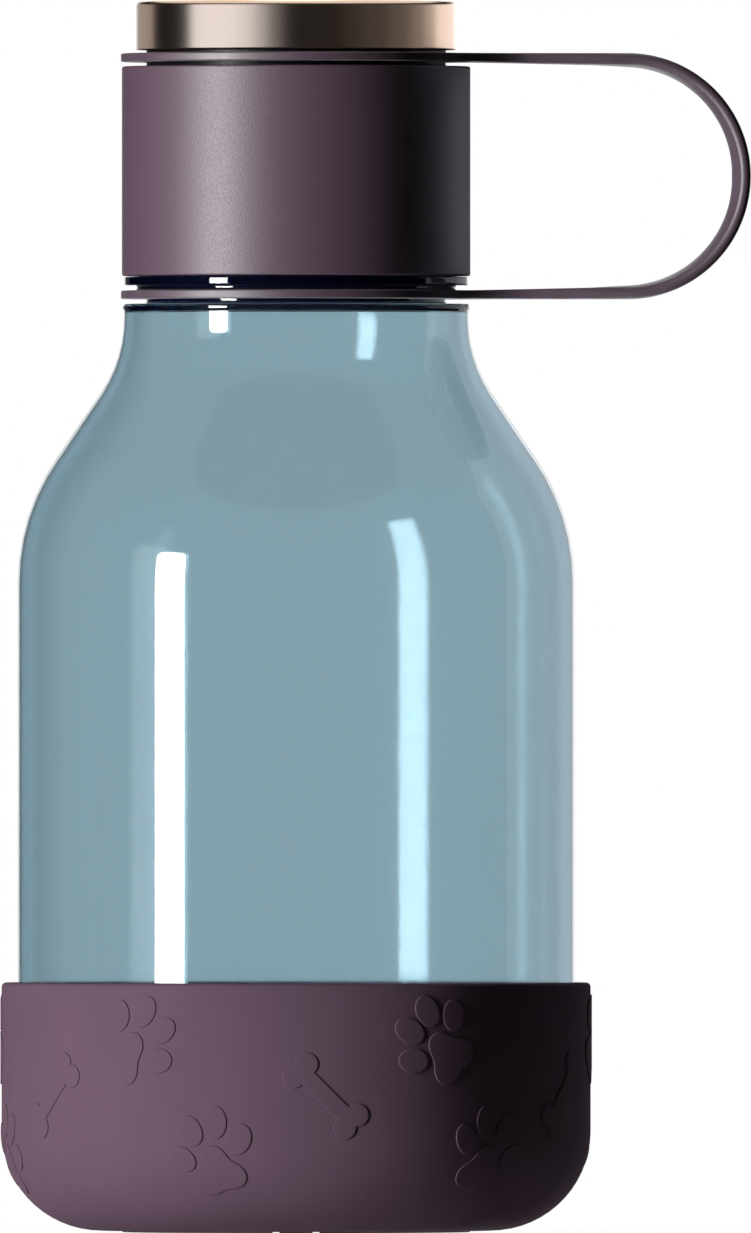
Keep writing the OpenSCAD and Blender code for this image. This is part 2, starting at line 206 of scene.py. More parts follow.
class StageSettings(bpy.types.PropertyGroup):
    """Light levels of the studio."""

    key_level: brightness("Strip light", "Brightness of the tall strip light", 14.2)
    card_level: brightness("Strip card", "Brightness of the strip that the bottle mirrors", 26.0)
    rim_level: brightness("Rim light", "Brightness of the light behind the object", 0.45)
    edge_level: brightness("Edge light", "Brightness of the light on the right-hand edges", 0.8)
    inner_level: brightness("Inner strip", "Brightness of the strip seen in the back wall", 20.0)
    disc_level: brightness("Disc light", "Brightness of the panels that only the disc mirrors", 1.0)
    ambient: brightness("Ambient", "Light from all round", 0.014)


def millimetres(group):
    """The lengths of a property group, in millimetres."""
    return SimpleNamespace(**{name: getattr(group, name) / MM for name in group.__annotations__})


# ---- materials ----

# Most of a noise lies between these
NOISE_SPAN = (0.3, 0.7)


class Value:
    """A socket's value, which Python's operators carry on through Math nodes."""

    def __init__(self, nodes, socket):
        self.nodes = nodes
        self.socket = socket

    def math(self, operation, first, second=0.0):
        return self.nodes.add("ShaderNodeMath", {"operation": operation}, {0: first, 1: second})

    def __add__(self, other):
        return self.math("ADD", self, other)

    def __sub__(self, other):
        return self.math("SUBTRACT", self, other)

    def __rsub__(self, other):
        return self.math("SUBTRACT", other, self)

    def __mul__(self, other):
        return self.math("MULTIPLY", self, other)

    def __pow__(self, other):
        return self.math("POWER", self, other)

    __radd__ = __add__
    __rmul__ = __mul__


class Nodes:
    """Adds nodes to one node tree."""

    def __init__(self, tree):
        self.tree = tree

    def add(self, kind, settings=None, inputs=None, output=0):
        """Adds a node: its settings first, then the values or links of its sockets.

        It gives the value of one output, or a list of values for a tuple of outputs.
        """
        node = self.tree.nodes.new(kind)
        for name, setting in (settings or {}).items():
            setattr(node, name, setting)
        for key, value in (inputs or {}).items():
            self.give(node.inputs[key], value)
        if isinstance(output, tuple):
            return [Value(self, node.outputs[key]) for key in output]
        return Value(self, node.outputs[output])

    def give(self, socket, value):
        """Sets a socket to a value, or links it to one."""
        if isinstance(value, Value):
            self.tree.links.new(value.socket, socket)
        else:
            socket.default_value = value

    def place(self, stretch=(1, 1, 1)):
        """The piece's own coordinates in millimetres, divided by stretch."""
        where = self.add("ShaderNodeTexCoord", output="Object")
        scale = [1 / (MM * share) for share in stretch]
        return self.add("ShaderNodeMapping", inputs={"Vector": where, "Scale": scale})

    def from_axis(self):
        """The distance from the axis, and the height, in millimetres."""
        x, y, z = self.add("ShaderNodeSeparateXYZ", inputs={0: self.place()}, output=(0, 1, 2))
        return (x * x + y * y) ** 0.5, z

    def noise(self, size, detail=2.0, stretch=(1, 1, 1)):
        """Soft noise from 0 to 1, with features of a size in millimetres."""
        return self.add("ShaderNodeTexNoise", inputs={
            "Vector": self.place(stretch), "Scale": 1 / size, "Detail": detail})

    def spread(self, value, low, high):
        """Takes noise, which gathers round its middle, to the range from low to high."""
        return self.add("ShaderNodeMapRange", inputs={
            "Value": value, "From Min": NOISE_SPAN[0], "From Max": NOISE_SPAN[1],
            "To Min": low, "To Max": high})

    def ramp(self, value, span, kind="SMOOTHSTEP"):
        """0 before a span of the value and 1 after it."""
        return self.add("ShaderNodeMapRange", {"interpolation_type": kind}, {
            "Value": value, "From Min": span[0], "From Max": span[1],
            "To Min": 0.0, "To Max": 1.0})

    def band(self, value, rise, fall):
        """1 between two spans of the value, and 0 outside them."""
        return self.ramp(value, rise) * (1 - self.ramp(value, fall))

    def mix(self, factor, first, second):
        """A colour between two colours."""
        return self.add("ShaderNodeMix", {"data_type": "RGBA"}, {0: factor, 6: first, 7: second}, 2)

    def uneven(self, base, size, amount):
        """A colour that wanders slowly about a base colour."""
        factor = self.spread(self.noise(size), 0.0, 1.0)
        return self.mix(factor, shade(base, 1 - amount), shade(base, 1 + amount))

    def bump(self, height, depth):
        """A normal from a height, whose full swing is depth millimetres."""
        return self.add("ShaderNodeBump", inputs={
            "Height": height, "Distance": depth * MM, "Strength": 1.0})


def shade(base, share):
    """A colour made darker or lighter by a share."""
    return tuple(min(1.0, channel * share) for channel in base[:3]) + (1.0,)


class Finish(Nodes):
    """A material whose one shader takes the constants, and then what varies."""

    def __init__(self, name, **constants):
        self.material = bpy.data.materials.new(name)
        self.material.use_nodes = True
        super().__init__(self.material.node_tree)
        self.shader = self.tree.nodes["Principled BSDF"]
        for socket, value in constants.items():
            self.shader.inputs[socket.replace("_", " ")].default_value = value

    def feed(self, **values):
        """Links what varies over the piece to the shader's sockets."""
        for socket, value in values.items():
            self.give(self.shader.inputs[socket.replace("_", " ")], value)


# The clear wall by how far it turns away: a band of painted shade that darkens its tint,
# a band of painted light, lighter and bluer, along its edge, and the haze of its inner side
PAINTED_SHADE_BAND = ((0.4, 0.6), (0.62, 0.68))
PAINTED_SHADE_SHARE = 0.8
PAINTED_EDGE_LIGHT_BAND = ((0.66, 0.72), (0.8, 0.87))
INNER_HAZE = 0.05
INSIDE = "inside"


def clear_plastic(colours):
    """Clear, blue-grey bottle plastic, tinted outside and a little hazy inside."""
    made = Finish("clear_plastic", Transmission_Weight=1.0, IOR=1.5)
    base = tuple(colours.clear)
    inside = made.add("ShaderNodeAttribute", {"attribute_name": INSIDE}, output=2)
    away = made.add("ShaderNodeLayerWeight", inputs={"Blend": 0.5}, output=1)
    tint = made.uneven(base, 60, 0.01)
    # Painted shade: the tint turns darker in a band where the wall turns away from the view
    tint = made.mix(made.band(away, *PAINTED_SHADE_BAND), tint, shade(base, PAINTED_SHADE_SHARE))
    # Painted light: the tint turns lighter and bluer in a band along the wall's edge
    tint = made.mix(made.band(away, *PAINTED_EDGE_LIGHT_BAND), tint, tuple(colours.clear_edge))
    gloss = made.spread(made.noise(25, 3), 0.004, 0.016)
    made.feed(
        Base_Color=made.mix(inside, tint, WHITE),
        Roughness=gloss + inside * INNER_HAZE,
        Normal=made.bump(made.noise(30, 1, (1, 1, 3)), 0.005))
    return made.material


def moulded_plastic(name, base, rough, gloss=0.5):
    """Opaque moulded plastic with a fine spark-eroded grain."""
    made = Finish(name, IOR=1.46, Specular_IOR_Level=gloss)
    made.feed(
        Base_Color=made.uneven(base, 22, 0.035),
        Roughness=made.spread(made.noise(9, 3), rough - 0.04, rough + 0.04),
        Normal=made.bump(made.noise(0.5, 2), 0.012))
    return made.material


# The part of the noise that is lint, and how much of it shows
LINT_SPAN = (0.66, 0.74)
LINT_SHARE = 0.18


def silicone(colours):
    """Soft matt silicone that holds a little lint."""
    base = tuple(colours.silicone)
    made = Finish("strap_silicone", IOR=1.7, Specular_IOR_Level=1.0,
                  Sheen_Weight=0.4, Sheen_Roughness=0.4)
    lint = made.add("ShaderNodeMapRange", inputs={
        "Value": made.noise(0.9, 3), "From Min": LINT_SPAN[0], "From Max": LINT_SPAN[1],
        "To Min": 0.0, "To Max": LINT_SHARE})
    made.feed(
        Base_Color=made.mix(lint, made.uneven(base, 14, 0.05), shade(base, 1.9)),
        Roughness=made.spread(made.noise(5, 3), 0.46, 0.56),
        Normal=made.bump(made.noise(0.35, 2), 0.01))
    return made.material


def satin_metal(colours):
    """Plum-grey satin coat on the metal sleeve, with a fine even grain."""
    made = Finish("sleeve_metal", IOR=1.53, Specular_IOR_Level=1.0)
    grain = made.noise(0.4, 3)
    made.feed(
        Base_Color=made.uneven(tuple(colours.sleeve), 18, 0.02),
        Roughness=made.spread(grain, 0.44, 0.52),
        Normal=made.bump(grain, 0.04))
    return made.material


def turned_metal(colours):
    """Pale metal with the fine rings that turning leaves."""
    base = tuple(colours.disc)
    made = Finish("disc_metal", Metallic=1.0)
    from_axis, height = made.from_axis()
    rings = made.add("ShaderNodeTexNoise", {"noise_dimensions": "1D"}, {
        "W": from_axis + height, "Scale": 2.4, "Detail": 3.0})
    made.feed(
        Base_Color=made.mix(rings, shade(base, 0.985), shade(base, 1.015)),
        Roughness=made.spread(rings, 0.22, 0.24),
        Normal=made.bump(rings, 0.00008))
    return made.material


def rubber(name, base, rough):
    """Matt rubber with a fine pebble."""
    made = Finish(name, IOR=1.45)
    pebble = made.noise(0.7, 3)
    made.feed(
        Base_Color=made.uneven(base, 8, 0.06),
        Roughness=made.spread(pebble, rough - 0.06, rough + 0.06),
        Normal=made.bump(pebble, 0.03))
    return made.material


# ---- shapes ----


def verts_in(made):
    """The vertices in what an operator has made."""
    return [item for item in made if isinstance(item, bmesh.types.BMVert)]


def everything(bm):
    """All the vertices, edges and faces of a mesh."""
    return bm.verts[:] + bm.edges[:] + bm.faces[:]


def bevel(bm, geom, offset, segments, affect="EDGES"):
    """Rounds edges or corners."""
    bmesh.ops.bevel(
        bm, geom=geom, offset=offset, offset_type="OFFSET", segments=segments,
        profile=0.5, affect=affect, material=-1)


def turn_verts(bm, verts, angle):
    """Turns some vertices about the axis."""
    bmesh.ops.rotate(bm, cent=(0, 0, 0), matrix=Matrix.Rotation(angle, 3, "Z"), verts=verts)


def take_in(bm, other):
    """Moves another mesh into this one."""
    scratch = bpy.data.meshes.new("scratch")
    other.to_mesh(scratch)
    other.free()
    bm.from_mesh(scratch)
    bpy.data.meshes.remove(scratch)


def turned_corner(before, corner, after, radius):
    """Where an arc of a radius starts beside a corner, its centre, and its signed turn."""
    into = (corner - before).normalized()
    out = (after - corner).normalized()
    turn = math.atan2(into.x * out.y - into.y * out.x, into.dot(out))
    reach = radius * math.tan(abs(turn) / 2)
    start = corner - into * reach
    side = Vector((-into.y, into.x)) * math.copysign(radius, turn)
    return start, start + side, turn


def draw_to(bm, pen, where):
    """Draws a straight side from the pen's vertex, if there is any way to go."""
    target = Vector((where.x, 0, where.y))
    if (pen.co - target).length < MERGE:
        return pen
    drawn = bmesh.ops.extrude_vert_indiv(bm, verts=[pen])
    new = drawn["verts"][0]
    new.co = target
    return new


def draw_arc(bm, pen, centre, turn, radius):
    """Turns the pen's vertex about a centre, leaving an arc."""
    step = SMALL_ARC_STEP if radius <= SMALL_ROUND else ARC_STEP
    steps = max(2, math.ceil(abs(math.degrees(turn)) / step))
    spun = bmesh.ops.spin(
        bm, geom=[pen], cent=(centre.x, 0, centre.y), axis=(0, -1, 0),
        angle=turn, steps=steps, use_merge=False)
    return verts_in(spun["geom_last"])[0]


def draw_side(bm, pen, end):
    """Draws a side, with a vertex held close to each of its ends where it is long."""
    start = Vector((pen.co.x, pen.co.z))
    way = end - start
    if way.length > 4 * HOLD:
        pen = draw_to(bm, pen, start + way.normalized() * HOLD)
        pen = draw_to(bm, pen, end - way.normalized() * HOLD)
    return draw_to(bm, pen, end)


def half_section(bm, corners, closed=False):
    """Draws an outline of (radius, height, round) corners in the plane y = 0."""
    points = [Vector(corner[:2]) for corner in corners]
    rounds = [corner[2] if len(corner) > 2 else 0.0 for corner in corners]
    count = len(points)
    start = (points[-1] + points[0]) / 2 if closed else points[0]
    pen = bm.verts.new((start.x, 0, start.y))
    last = count if closed else count - 1
    for index in range(0 if closed else 1, last):
        corner, radius = points[index], rounds[index]
        if radius <= 0:
            pen = draw_side(bm, pen, corner)
            continue
        after = points[(index + 1) % count]
        meet, centre, turn = turned_corner(points[index - 1], corner, after, radius)
        pen = draw_side(bm, pen, meet)
        pen = draw_arc(bm, pen, centre, turn, radius)
    draw_side(bm, pen, start if closed else points[-1])
    bmesh.ops.remove_doubles(bm, verts=bm.verts, dist=MERGE)


def turn_round(bm):
    """Turns the drawn outline once about the axis and closes its poles."""
    bmesh.ops.spin(
        bm, geom=bm.verts[:] + bm.edges[:], cent=(0, 0, 0), axis=(0, 0, 1),
        angle=math.tau, steps=TURN_SIDES, use_merge=True)
    bmesh.ops.remove_doubles(bm, verts=bm.verts, dist=MERGE)
    bmesh.ops.recalc_face_normals(bm, faces=bm.faces)


def turned(corners, closed=False):
    """A turned solid from the corners of its half section."""
    bm = bmesh.new()
    half_section(bm, corners, closed)
    turn_round(bm)
    return bm


def add_object(name, data):
    """Puts a new object in the scene."""
    added = bpy.data.objects.new(name, data)
    bpy.context.scene.collection.objects.link(added)
    return added


def add_mesh(name, bm, material):
    """Puts a mesh in the scene as a new object."""
    mesh = bpy.data.meshes.new(name)
    bm.to_mesh(mesh)
    bm.free()
    mesh.materials.append(material)
    return add_object(name, mesh)


def make_piece(name, bm, material, body=None, replaces=()):
    """Writes a mesh in metres, shades it, and ties the piece to its body and nodes."""
    bmesh.ops.scale(bm, vec=(MM, MM, MM), verts=bm.verts)
    for face in bm.faces:
        face.smooth = True
    for edge in bm.edges:
        edge.smooth = edge.calc_face_angle(0.0) < SHARP_ANGLE
    piece = add_mesh(name, bm, material)
    if body:
        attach(piece, body)
    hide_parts(*replaces)
    return piece


# ---- the bottle ----

BASE_RING_R = 33.0
BASE_HOLLOW = 2.6
SLOPE = math.radians(34.2)
BODY_TOP_Z = 130.1
# The bead under the neck's groove, the groove, and the flange over it
BEAD_PROUD = 0.25
BEAD_H = 1.5
NECK_STRAIGHT = 1.3
GROOVE_R = 30.0
GROOVE_BELOW = 1.0
GROOVE_TOP_GAP = 1.0
FLANGE_H = 1.7
STEP_R = 32.0
MOUTH_WALL = 2.2
INNER_LEDGE_DROP = 0.7
INNER_BASE_Z = 30.0
# Degrees that a thread runs and runs out in, and half its width at its root and crest
THREAD_SPAN = 270.0
THREAD_RUN_OUT = 30.0
THREAD_ROOT_HALF = 1.2
THREAD_CREST_HALF = 0.65
THREAD_ROWS = 52
WALL_REACH = 0.01
INWARD = 0.3


def bottle_side(size, inset):
    """The bottle's side from its base to its neck, moved inwards by inset."""
    body = AT.bottle.r - inset
    neck = size.neck_radius - inset
    lean = math.tan(SLOPE / 2)
    high = BODY_TOP_Z + (size.shoulder_out - inset) * lean
    slope_top = BODY_TOP_Z + size.shoulder_out * lean + (
        (AT.bottle.r - size.neck_radius) / math.tan(SLOPE)) - inset * lean
    return [
        (body, BASE_Z + inset, size.base_round - inset),
        (body, high, size.shoulder_out - inset),
        (neck, slope_top, size.shoulder_in + inset),
    ]


def bottle_outline(size, neck_z, flange_top):
    """The half section of the whole bottle, outside and then inside."""
    neck = size.neck_radius
    bead_z = neck_z + NECK_STRAIGHT
    groove_z = bead_z + BEAD_H
    step_z = flange_top - FLANGE_H - GROOVE_TOP_GAP
    finish = size.mouth_radius + MOUTH_WALL
    mouth_z = AT.bottle.high
    hollow_r = BASE_RING_R - BASE_HOLLOW
    base_z = BASE_Z + BASE_HOLLOW
    outside = [(0, base_z), (hollow_r, base_z, 3), (BASE_RING_R, BASE_Z, 1.5)]
    outside += bottle_side(size, 0)
    outside += [
        (neck, bead_z, 0.2), (neck + BEAD_PROUD, bead_z + BEAD_H / 3, 0.2),
        (neck + BEAD_PROUD, groove_z - BEAD_H / 3, 0.2), (neck, groove_z, 0.2),
        (GROOVE_R, groove_z, 0.4), (GROOVE_R, step_z, 0.3), (STEP_R, step_z, 0.3),
        (STEP_R, step_z + GROOVE_TOP_GAP, 0.3), (size.flange_radius, flange_top - FLANGE_H, 0.3),
        (size.flange_radius, flange_top, 0.3), (finish, flange_top, 0.6),
        (finish, mouth_z, 0.7), (size.mouth_radius, mouth_z, 0.7)]
    ledge_z = groove_z - INNER_LEDGE_DROP
    inside = [(size.mouth_radius, ledge_z, 0.4), (neck - size.wall, ledge_z, 0.8)]
    inside += reversed(bottle_side(size, size.wall))
    inside += [
        (BASE_RING_R + size.wall / 2, BASE_Z + size.wall, 2),
        (hollow_r + size.wall / 2, base_z + size.wall, 3), (0, base_z + size.wall)]
    return outside + inside


def thread_rise(angle, height, first_z, lead):
    """How much of a thread's full height stands at an angle and height, from 0 to 1."""
    best = 0.0
    for start in range(THREAD_STARTS):
        along = (angle - 360.0 * start / THREAD_STARTS) % 360.0
        if along > THREAD_SPAN:
            continue
        off = abs(height - first_z - lead * along / 360.0)
        flank = (THREAD_ROOT_HALF - off) / (THREAD_ROOT_HALF - THREAD_CREST_HALF)
        ends = min(along, THREAD_SPAN - along) / THREAD_RUN_OUT
        best = max(best, min(1.0, max(0.0, flank)) * min(1.0, ends))
    return best * best * (3 - 2 * best)


def cut_thread(bm, wall_r, low, high, first_z, lead, depth):
    """Raises a thread from a straight wall: out for a positive depth, in for a negative one."""
    for vert in bm.verts:
        radius = math.hypot(vert.co.x, vert.co.y)
        if abs(radius - wall_r) > WALL_REACH or not low < vert.co.z < high:
            continue
        angle = math.degrees(math.atan2(vert.co.y, vert.co.x)) % 360.0
        rise = thread_rise(angle, vert.co.z, first_z, lead)
        grown = (radius + depth * rise) / radius
        vert.co.x *= grown
        vert.co.y *= grown


def rows_for_thread(bm, wall_r, low, high):
    """Divides the straight wall that a thread stands on."""
    middle = (low + high) / 2
    wall = [
        edge for edge in bm.edges
        if all(abs(vert.co.x - wall_r) < WALL_REACH for vert in edge.verts)
        and min(vert.co.z for vert in edge.verts) < middle < max(vert.co.z for vert in edge.verts)]
    bmesh.ops.subdivide_edges(bm, edges=wall, cuts=THREAD_ROWS)


def mark_inside(bm):
    """Marks the wall's inner side, which faces the axis or, in the lower part, upwards."""
    layer = bm.verts.layers.float.new(INSIDE)
    bm.normal_update()
    for vert in bm.verts:
        out = Vector((vert.co.x, vert.co.y, 0)).normalized()
        inward = -vert.normal.dot(out)
        if vert.co.z < INNER_BASE_Z:
            inward += vert.normal.z
        vert[layer] = 1.0 if inward > INWARD else 0.0


def model_bottle(size):
    """The clear bottle with its thread."""
    flange_top = AT.bottle.high - MOUTH_H
    neck_z = AT.lower_ring.low - GROOVE_BELOW - BEAD_H - NECK_STRAIGHT
    finish = size.mouth_radius + MOUTH_WALL
    bm = bmesh.new()
    half_section(bm, bottle_outline(size, neck_z, flange_top))
    rows_for_thread(bm, finish, flange_top, AT.bottle.high)
    turn_round(bm)
    cut_thread(
        bm, finish, flange_top, AT.bottle.high, flange_top + THREAD_FIRST,
        size.thread_lead, size.thread_depth)
    mark_inside(bm)
    return bm


# ---- the bowl ----

# One third of the relief: [degrees from the front, height, degrees of lean to the left]
PAWS = ((-35.8, 35.4, -45), (31.4, 35.4, 45), (-15.5, 12.2, 18), (39.7, 12.2, -18))
BONES = ((-55.4, 27.6, -45), (5.8, 27.6, 45))
REPEATS = 3
PAD_R = 4.9
PAD_LOBE = 1.0
TOE_HALF_W = 2.5
# Each pair of toes: [distance from the middle, height, half length, degrees of splay]
TOES = ((2.75, 10, 3.35, 15), (6.4, 5.2, 3.2, 42))
BONE_LEN = 14.4
BONE_SHAFT = 3.4
BONE_KNOB = 2.3
BONE_KNOB_X = 1.8
RELIEF_SINK = 0.3
RELIEF_HOLD = 0.3
RELIEF_STEPS = 3
WALL_CORNERS = 8
FACING_UP = 0.9
RELIEF_STRIP = 1.6
FIRST_STRIP = 0.53
PAD_SIDES = 54
TOE_SIDES = 30
KNOB_STEPS = 14


def paw_outline(bm):
    """The faces of one paw print: a three-lobed pad and four toes, toes up."""
    pad = bmesh.ops.create_circle(bm, cap_ends=True, radius=PAD_R, segments=PAD_SIDES)
    for vert in pad["verts"]:
        angle = math.atan2(vert.co.y, vert.co.x)
        lobes = PAD_LOBE * math.cos(3 * (angle - math.pi / 2))
        vert.co *= (PAD_R + lobes) / PAD_R
    for side_x, height, half_h, splay in TOES:
        for side in (-1, 1):
            placed = (
                Matrix.Translation((side * side_x, height, 0))
                @ Matrix.Rotation(math.radians(-side * splay), 4, "Z")
                @ Matrix.Diagonal((TOE_HALF_W, half_h, 1, 1)))
            bmesh.ops.create_circle(
                bm, cap_ends=True, radius=1.0, segments=TOE_SIDES, matrix=placed)


def bone_outline(bm):
    """The face of one upright bone, from a quarter that is mirrored twice."""
    knob = Vector((BONE_KNOB_X, BONE_LEN / 2))
    notch = math.sqrt(BONE_KNOB ** 2 - BONE_KNOB_X ** 2)
    waist = math.sqrt(BONE_KNOB ** 2 - (BONE_SHAFT / 2 - BONE_KNOB_X) ** 2)
    first = bm.verts.new((0, knob.y + notch, 0))
    begin = math.atan2(notch, -BONE_KNOB_X)
    end = math.atan2(-waist, BONE_SHAFT / 2 - BONE_KNOB_X)
    spun = bmesh.ops.spin(
        bm, geom=[first], cent=(knob.x, knob.y, 0), axis=(0, 0, 1),
        angle=end - begin, steps=KNOB_STEPS, use_merge=False)
    drawn = bmesh.ops.extrude_vert_indiv(bm, verts=verts_in(spun["geom_last"]))
    drawn["verts"][0].co = Vector((BONE_SHAFT / 2, 0, 0))
    for axis in ("X", "Y"):
        bmesh.ops.mirror(
            bm, geom=bm.verts[:] + bm.edges[:], matrix=Matrix(), merge_dist=MERGE, axis=axis)
    bmesh.ops.remove_doubles(bm, verts=bm.verts, dist=MERGE)
    bmesh.ops.contextual_create(bm, geom=bm.edges[:])
    if bm.faces[:][0].normal.z < 0:
        bmesh.ops.reverse_faces(bm, faces=bm.faces)


def raise_motif(bm, size):
    """Gives a flat motif its thickness and a rounded upper edge, held by an inset."""
    top = RELIEF_SINK + size.relief_height
    bm.faces.ensure_lookup_table()
    for face in bm.faces:
        face.normal_update()
    raised = bmesh.ops.extrude_face_region(bm, geom=bm.faces[:], use_keep_orig=True)["geom"]
    faces = [item for item in raised if isinstance(item, bmesh.types.BMFace)]
    bmesh.ops.translate(bm, vec=(0, 0, top), verts=verts_in(raised))
    rim = dict.fromkeys(edge for face in faces for edge in face.edges)
    bevel(bm, list(rim), size.relief_edge, RELIEF_STEPS)
    bmesh.ops.recalc_face_normals(bm, faces=bm.faces)
    tops = [
        face for face in bm.faces
        if len(face.verts) > WALL_CORNERS and face.normal.z > FACING_UP]
    bmesh.ops.inset_individual(bm, faces=tops, thickness=RELIEF_HOLD)


def strip_motif(bm, axis):
    """Cuts a motif across an axis into narrow strips, so that it can follow a curved wall."""
    normal = Vector([float(index == axis) for index in range(3)])
    cut = min(vert.co[axis] for vert in bm.verts) + RELIEF_STRIP * FIRST_STRIP
    high = max(vert.co[axis] for vert in bm.verts)
    while cut < high:
        bmesh.ops.bisect_plane(
            bm, geom=everything(bm), plane_co=normal * cut, plane_no=normal, dist=1e-5)
        cut += RELIEF_STRIP


def bend_onto_bowl(bm, size, angle, height):
    """Moves a motif to its place and bends it round the bowl and its lower corner."""
    corner_z = AT.bowl.low + size.base_round
    below = max(0.0, corner_z - height)
    along = corner_z - size.base_round * math.asin(below / size.base_round) if below else height
    for vert in bm.verts:
        turn = math.radians(angle) + vert.co.x / BOWL_R
        level = along + vert.co.y
        out = vert.co.z - RELIEF_SINK
        tilt = max(0.0, corner_z - level) / size.base_round
        radius = BOWL_R - size.base_round + (size.base_round + out) * math.cos(tilt)
        rise = level if level > corner_z else corner_z - (size.base_round + out) * math.sin(tilt)
        vert.co = Vector((radius * math.sin(turn), -radius * math.cos(turn), rise))


def add_motif(bm, outline, place, size):
    """Adds one motif of the relief, bent to its place on the bowl."""
    angle, height, lean = place
    motif = bmesh.new()
    outline(motif)
    raise_motif(motif, size)
    turn_verts(motif, motif.verts, math.radians(lean))
    strip_motif(motif, axis=0)
    if height < AT.bowl.low + size.base_round:
        strip_motif(motif, axis=1)
    bend_onto_bowl(motif, size, angle, height)
    take_in(bm, motif)


def model_relief(size):
    """All the motifs, repeated round the bowl."""
    bm = bmesh.new()
    for outline, places in ((paw_outline, PAWS), (bone_outline, BONES)):
        for place in places:
            add_motif(bm, outline, place, size)
    third = everything(bm)
    for repeat in range(1, REPEATS):
        copied = bmesh.ops.duplicate(bm, geom=third)["geom"]
        turn_verts(bm, verts_in(copied), math.tau * repeat / REPEATS)
    bmesh.ops.recalc_face_normals(bm, faces=bm.faces)
    return bm


def model_bowl(size):
    """The bowl, turned, with its relief."""
    low = AT.bowl.low
    inner = BOWL_R - size.wall
    recess_r = AT.foot.r + SLIP
    corners = [
        (0, AT.foot.high), (recess_r, AT.foot.high), (recess_r, low, 0.15),
        (BOWL_R, low, size.base_round), (BOWL_R, AT.bowl.high, size.rim_round),
        (inner, AT.bowl.high, size.rim_round), (inner, BASE_Z, size.base_round - size.wall),
        (0, BASE_Z)]
    bm = turned(corners)
    take_in(bm, model_relief(size))
    return bm


# ---- the strap ----

LOOP_R = (AT.upper_ring.high - AT.lower_ring.low) / 2
LOOP_Z = (AT.upper_ring.high + AT.lower_ring.low) / 2
QUARTER = math.pi / 2 * LOOP_R
RING_R = 35.1
STRAP_ROWS = (-1, -0.82, -0.7, -0.52, -0.35, -0.17, 0, 0.17, 0.35, 0.52, 0.7, 0.82, 1)
FILLET_COLUMNS = 14
BAND_COLUMNS = 12
BEND_COLUMNS = 34
RING_STEPS = 84
# Thickness of the band's edge where the bend starts and at the grip
EDGE_T = 2.4
EDGE_APEX_T = 2.2
EDGE_ROWS = 3
EDGE_STEPS = 5
RIM_ANGLE = math.radians(60)
FLAT_TO = 0.8
# Where the faces start to swell, how the swell grows along and across the band, and its
# share on the outer and the inner face
CROWN_FROM_X = 58.0
CROWN_ALONG = 0.9
CROWN_ACROSS = 0.6
SWELL_OUT = 0.05
SWELL_IN = -0.95
BAND_ROUND_FROM = 12.0
WELD = MERGE * 10


def share_of(value, low, high):
    """How far a value is from low to high, from 0 to 1."""
    return max(0.0, min(1.0, (value - low) / (high - low)))


def strap_column(index, size):
    """Along the band: (share of the fillet, distance beyond it) at a column."""
    if index <= FILLET_COLUMNS:
        return index / FILLET_COLUMNS, 0.0
    straight = size.bend_x - fillet_centre(size)[0]
    if index <= FILLET_COLUMNS + BAND_COLUMNS:
        return 1.0, (index - FILLET_COLUMNS) / BAND_COLUMNS * straight
    return 1.0, straight + (index - FILLET_COLUMNS - BAND_COLUMNS) / BEND_COLUMNS * QUARTER


def fillet_centre(size):
    """Where the round between the ring and the band has its centre."""
    centre_y = size.width / 2 + size.fillet
    return math.sqrt((RING_R + size.fillet) ** 2 - centre_y ** 2), centre_y


def flat_point(row, index, size):
    """A point of the strap laid flat: along it, and across it."""
    centre_x, centre_y = fillet_centre(size)
    reach = math.atan2(centre_y, centre_x)
    start = Vector((RING_R * math.cos(reach * row), RING_R * math.sin(reach * row)))
    share, beyond = strap_column(index, size)
    edge_x = RING_R * math.cos(reach)
    edge_x += (centre_x - edge_x) * share
    edge_y = centre_y - math.sqrt(max(0.0, size.fillet ** 2 - (centre_x - edge_x) ** 2))
    full = RING_R * math.sin(reach)
    narrowed = (full - edge_y) / (full - size.width / 2)
    along = start.x + (centre_x - start.x) * share
    across = start.y + (row * size.width / 2 - start.y) * narrowed
    return along + beyond, across


def edge_thickness(along, size):
    """The thickness of the band's round edge, along it."""
    if along < RING_R * FLAT_TO:
        return size.ring_thickness
    straight = share_of(along, RING_R, size.bend_x)
    bend = share_of(along, size.bend_x, size.bend_x + QUARTER)
    edge = size.ring_thickness + (EDGE_T - size.ring_thickness) * straight
    return edge + (EDGE_APEX_T - EDGE_T) * bend


def grip_crown(along, across, size):
    """How far the band's faces swell between its round edges."""
    grown = share_of(along, CROWN_FROM_X, QUARTER + size.bend_x)
    flat = size.width / 2 - edge_thickness(along, size) / 2
    middle = max(0.0, 1 - (across / flat) ** 2)
    return size.apex_crown * grown ** CROWN_ALONG * middle ** CROWN_ACROSS


